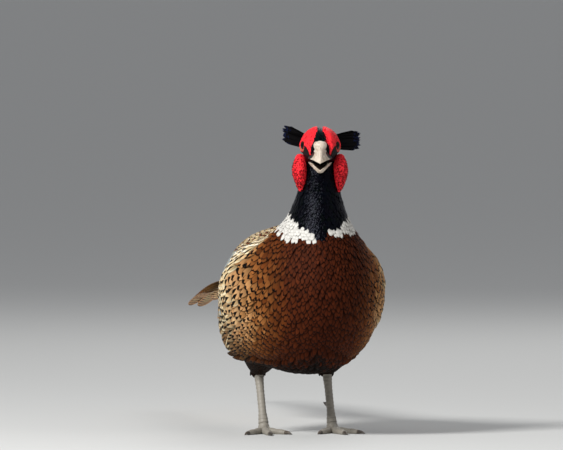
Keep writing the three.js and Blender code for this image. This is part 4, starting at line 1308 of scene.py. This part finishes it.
def bill():
    material = horn_paint("bill_horn", "d2c3b2", "a3917c")
    for name, more in (("bill_upper", [cere()]), ("bill_lower", [])):
        points, faces, _ = remeshed([node_skin(name), *more], name)
        p = to_head(points)
        x = np.abs(p[:, 0])
        if name == "bill_upper":
            dark = smooth((x - np.interp(p[:, 2], *BILL_SIDES)) / 0.8) * smooth((p[:, 1] + 34) / 3)
        else:
            # The trough of the lower bill inside its pale rim is painted near black, as painted shade in the
            # mouth under the upper bill.
            half, edge, keel = ramp(-p[:, 1], *LOWER_BILL).T
            dark = smooth((half - RIM_WIDTH - x) / 0.9) * smooth((p[:, 2] - mix(edge, keel, 0.55)) / 0.6)
            level = np.clip((p[:, 2] - keel) / (edge - keel), 0, 1)
            p[:, 2] += RIM_RISE * level * smooth((-p[:, 1] - 20) / 8) * (1 - dark)
        data = {"spot": p, "mouth": stacked(dark, 0, 0)}
        make_piece(f"{name}_horn", from_head(p), faces, material, [name], data)


# Eyes


def eye_paint():
    paint = Paint("eyeball", Roughness=0.1, Specular_IOR_Level=0.25, IOR=1.34)
    out, turn, _ = paint.parts(paint.attribute("gaze"))
    rays = paint.noise(paint.node("CombineXYZ", {0: turn * 9.0, 1: out}), 1.0, 3.0)
    iris = paint.mix(rays, srgb("170a04"), srgb("43220c"))
    iris = paint.mix(paint.step(out, 0.68, 0.8), iris, srgb("1a0c06"))
    paint.colour(paint.mix(paint.step(out, 0.46, 0.5), (0.002, 0.002, 0.002), iris))
    return paint.material


def look_turn(side):
    """Turns x, the way an eye looks on the left, to where it looks."""
    return turned(-side * EYE_FORWARD, 2) @ np.diag([side, 1, 1])


def on_eye(local, side):
    """Points of an eye that looks along x, put in their place in the head."""
    return from_head(local.reshape(-1, 3) @ look_turn(side).T + EYE * [side, 1, 1])


def eye(name, side, material):
    """An eyeball whose poles lie on the line that it looks along. gaze is the sine from that line."""
    polar, around = np.linspace(0, np.pi, 40), circle(48)
    a, b = np.meshgrid(polar, around, indexing="ij")
    local = stacked(np.cos(a), np.sin(a) * np.cos(b), np.sin(a) * np.sin(b)) * EYE_RADIUS
    local[..., 0] += 0.35 * smooth((np.cos(a) - 0.75) / 0.2)
    gaze = stacked(np.where(np.cos(a) > 0, np.sin(a), 1.0), np.cos(2 * b) + np.sin(3 * b), 0)
    faces = grid_faces(len(polar), len(around))
    if side > 0:
        faces = faces[:, ::-1]
    data = {"gaze": gaze.reshape(-1, 3)}
    make_piece(f"eyeball_{name}", on_eye(local, side), faces, material, [f"eye_{name}"], data)


# The ring of the lids: its radius, and how far out from the eye's middle it lies
LID_RADIUS = 5.5
LID_OUT = 4.0


def lids(name, side, material):
    """A swollen ring round the eye, with the paler lower lid."""
    around, ring = circle(72), circle(16)
    a, b = np.meshgrid(around, ring, indexing="ij")
    lower = smooth(-1.4 * np.sin(a))
    thick = 1.1 + 0.1 * np.sin(9 * a) + 0.3 * lower
    radius = LID_RADIUS + thick * np.cos(b)
    local = stacked(LID_OUT + thick * np.sin(b) * 1.1, radius * np.cos(a) * 1.05, radius * np.sin(a) * 0.9)
    points = on_eye(local, side)
    faces = grid_faces(len(around) + 1, len(ring)) % len(points)
    bare = stacked(1 - 0.8 * lower, 0.7, 0).reshape(-1, 3)
    data = {"spot": to_head(points), "bare": bare, "ground": srgb("a05a42") + 0 * points}
    make_piece(f"lids_{name}", points, faces, material, (), data)


# Legs


def scale_paint():
    paint = Paint("leg_scales", Roughness=0.5)
    groove, _, _ = paint.parts(paint.attribute("scute"))
    place = paint.attribute("spot")
    tone = paint.mix(paint.noise(place, 0.25, 3.0), srgb("7e796f"), srgb("9d968a"))
    paint.colour(paint.mix(paint.step(groove, 0.5, 0.05), tone, srgb("565048")))
    paint.bump(paint.noise(place, 2.5, 3.0), 0.0003, 0.4)
    return paint.material


def pipe(path, radius, sides, side, plates):
    """A limb along a path, with its scutes: points, faces and how high each point is over a groove."""
    along = unit(np.gradient(path, axis=0))
    across = unit(np.cross([1.0, 0, 0], along))
    # A toe that points sideways would lie along x, so its frame is taken from z there.
    across = np.where(np.abs(along[:, :1]) > 0.95, unit(np.cross([0, 0, 1.0], along)), across)
    other = np.cross(along, across)
    b = circle(sides)[None, :, None]
    run = np.concatenate([[0], np.cumsum(np.linalg.norm(np.diff(path, axis=0), axis=-1))])
    stage = (run / run[-1] * plates) % 1
    height = 1 - np.abs(2 * stage - 1) ** 6
    r = (radius + 0.45 * height + 0.35 * stage)[:, None, None]
    ring = path[:, None] + r * (across[:, None] * np.cos(b) + other[:, None] * np.sin(b))
    tip = path[-1] + along[-1] * radius[-1] * 0.6
    ring = np.concatenate([ring[:1] * 0 + path[0], ring, ring[:1] * 0 + tip])
    ring[..., 2] = np.maximum(ring[..., 2], 0)
    height = np.repeat([height[0], *height, height[-1]], sides)
    return on_leg(ring.reshape(-1, 3), side), grid_faces(len(ring), sides), height


# Scutes of the shank, the length of a toe's, and how far a claw starts inside the toe
SHANK_PLATES = 15
TOE_PLATE = 2.6
CLAW_INSIDE = 1.5


def toe_line(heading, side):
    angle = math.radians(heading)
    return np.array([side * math.sin(angle), -math.cos(angle), 0])


def toe(line, length, thick, thin, side):
    s = np.linspace(0, 1, 60)
    radius = mix(thick, thin, s)
    height = mix(FOOT_HUB[2] - 2, radius - SOLE, smooth(s / 0.28))
    path = line * (length * s)[:, None] + stacked(0, 0, height)
    bulge = radius * (0.88 + 0.09 * np.cos(s * 5 * np.pi))
    return pipe(path, bulge, 16, side, max(4, round(length / TOE_PLATE)))


def claw(line, start, length, thin, side):
    k = np.linspace(0, 1, 16)
    path = line * (start - CLAW_INSIDE + (length + CLAW_INSIDE) * k)[:, None]
    path[:, 2] = thin - SOLE + 0.6 * np.sin(np.pi * k) - 1.3 * k**2
    return pipe(path, thin * 0.78 * (1 - k**1.6) - 0.33, 12, side, 1)[:2]


def spur(side):
    k = np.linspace(0, 1, 24)
    path = mix(FOOT_HUB, ANKLE, 0.34) + stacked(-side * 3.8 * k, 13.5 * k, 2.6 * k**2)
    return pipe(path, 2.6 * (1 - k**1.8) - 0.35, 14, side, 1)[:2]


def leg(name, side, scales, horn):
    s = np.linspace(0, 1, 90)
    shank = mix(FOOT_HUB, ANKLE, mix(1.05, 0.02, s)[:, None])
    radius = mix(4.6, 3.3, smooth(s * 2.2)) + 1.2 * smooth((s - 0.75) / 0.25)
    limbs = [pipe(shank, radius, 20, side, SHANK_PLATES)]
    horns = []
    for heading, length, thick, thin, claw_length in TOES:
        line = toe_line(heading, side)
        limbs.append(toe(line, length, thick, thin, side))
        horns.append(claw(line, length, claw_length, thin, side))
    horns.append(spur(side))

    def heel(u, a):
        x, y = 5.6 * np.sin(u) * np.cos(a), 6.0 * np.sin(u) * np.sin(a) - 0.5
        return on_leg(stacked(x, y, 6.4 + 6.0 * np.cos(u)), side)

    hub = tube(heel, np.linspace(0.05, np.pi - 0.05, 18), 24)
    points, faces = joined([limb[:2] for limb in limbs] + [hub])
    points[:, 2] = np.maximum(points[:, 2], 0)
    height = np.concatenate([limb[2] for limb in limbs] + [np.full(len(hub[0]), 0.7)])
    data = {"scute": stacked(height, 0, 0), "spot": points}
    replaced = [f"shank_{name}", f"foot_{name}"]
    make_piece(f"leg_skin_{name}", points, faces, scales, replaced, data)
    points, faces = joined(horns)
    replaced = [f"spur_{name}", *[f"claw_{name}_{i + 1}" for i in range(len(TOES))]]
    make_piece(f"claws_{name}", points, faces, horn, replaced, {"spot": points})


def thigh_coat(name, side):
    surface = thigh(side)
    size = lambda s, a: mix(5.0, 2.6, smooth(s))
    roots = shingle(surface, (0.12, 0.97), (-np.pi, np.pi), size)
    s, a = roots.T
    gap = size(s, a)
    colours = plain_colours(len(roots), DARK * 0.7, srgb("2e1b11"), BLACK, (0.1, 0.2, 0), 0.2)
    made = lay(surface, roots, gap * 3.4, gap * 0.7, (-0.6, 1.6), outline=long_tip, ragged=0.05,
               colours=colours, place=spread_out(a / (2 * np.pi) % 1, s))  # fmt: skip
    coat(f"coat_thigh_{name}", [made], PLUMAGE)


# Stage


# Where the camera looks, from where, and the width that it sees there
TARGET = Vector(to_row(np.array([-18, 27.1, 208.8])))
VIEW_AZIMUTH = math.radians(-12)
VIEW_ELEVATION = math.radians(1.5)
DISTANCE = 10
VIEW_WIDTH = 0.563
SENSOR = 36
CLIP_END = 1000
FLOOR_REACH = 300
FLOOR_COLOUR = (0.62, 0.62, 0.6)
SKY = ((0.93, 0.95, 1.0, 1), 0.35)
# Lamps: place, size and watts. They all point at the same spot.
LAMPS = {
    "key": ((-2.1, -1.9, 2.1), 0.8, 122),
    "fill": ((2.0, -2.2, 1.4), 1.6, 7),
    "rim": ((1.2, 2.2, 2.2), 1.2, 20),
}
LIT = Vector((0, -0.15, 0.15))


def aim(thing, place, way):
    """Puts a camera or lamp in its place, looking along a direction."""
    thing.location = place
    thing.rotation_mode = "QUATERNION"
    thing.rotation_quaternion = way.to_track_quat("-Z", "Y")


def stage():
    level = math.cos(VIEW_ELEVATION)
    back = Vector(
        (level * math.sin(VIEW_AZIMUTH), -level * math.cos(VIEW_AZIMUTH), math.sin(VIEW_ELEVATION))
    )
    data = bpy.data.cameras.new("camera")
    data.sensor_width = SENSOR
    data.lens = SENSOR * DISTANCE / VIEW_WIDTH
    data.clip_end = CLIP_END
    camera = add_object("camera", data)
    aim(camera, TARGET + back * DISTANCE, -back)
    bpy.context.scene.camera = camera

    mesh = bpy.data.meshes.new("floor")
    corners = [(x * FLOOR_REACH, y * FLOOR_REACH, 0) for x, y in ((-1, -1), (1, -1), (1, 1), (-1, 1))]
    mesh.from_pydata(corners, [], [(0, 1, 2, 3)])
    paint = Paint("floor", Roughness=0.9)
    paint.colour(FLOOR_COLOUR)
    mesh.materials.append(paint.material)
    floor = add_object("floor", mesh)

    world = bpy.data.worlds.new("studio")
    bpy.context.scene.world = world
    world.use_nodes = True
    sky = world.node_tree.nodes["Background"].inputs
    sky[0].default_value, sky[1].default_value = SKY
    for name, (place, size, power) in LAMPS.items():
        data = bpy.data.lights.new(name, "AREA")
        data.size = size
        data.energy = power
        aim(add_object(name, data), place, LIT - Vector(place))
    bpy.context.scene.view_settings.view_transform = "Standard"


stage()
skin_piece, face_points, face_faces = skin()
face_tree = BVHTree.FromPolygons(face_points.tolist(), face_faces.tolist())
body_coat()
head_coat()
bill()
eyeball = eye_paint()
scales = scale_paint()
claw_horn = horn_paint("claw_horn", "5a5046", "2c2620")
for name, side in SIDES.items():
    wing(name, side)
    ear_tuft(name, side)
    flakes(name, side, face_tree)
    eye(name, side, eyeball)
    lids(name, side, skin_piece.data.materials[0])
    leg(name, side, scales, claw_horn)
    thigh_coat(name, side)
tail_feathers()
tail_coverts()
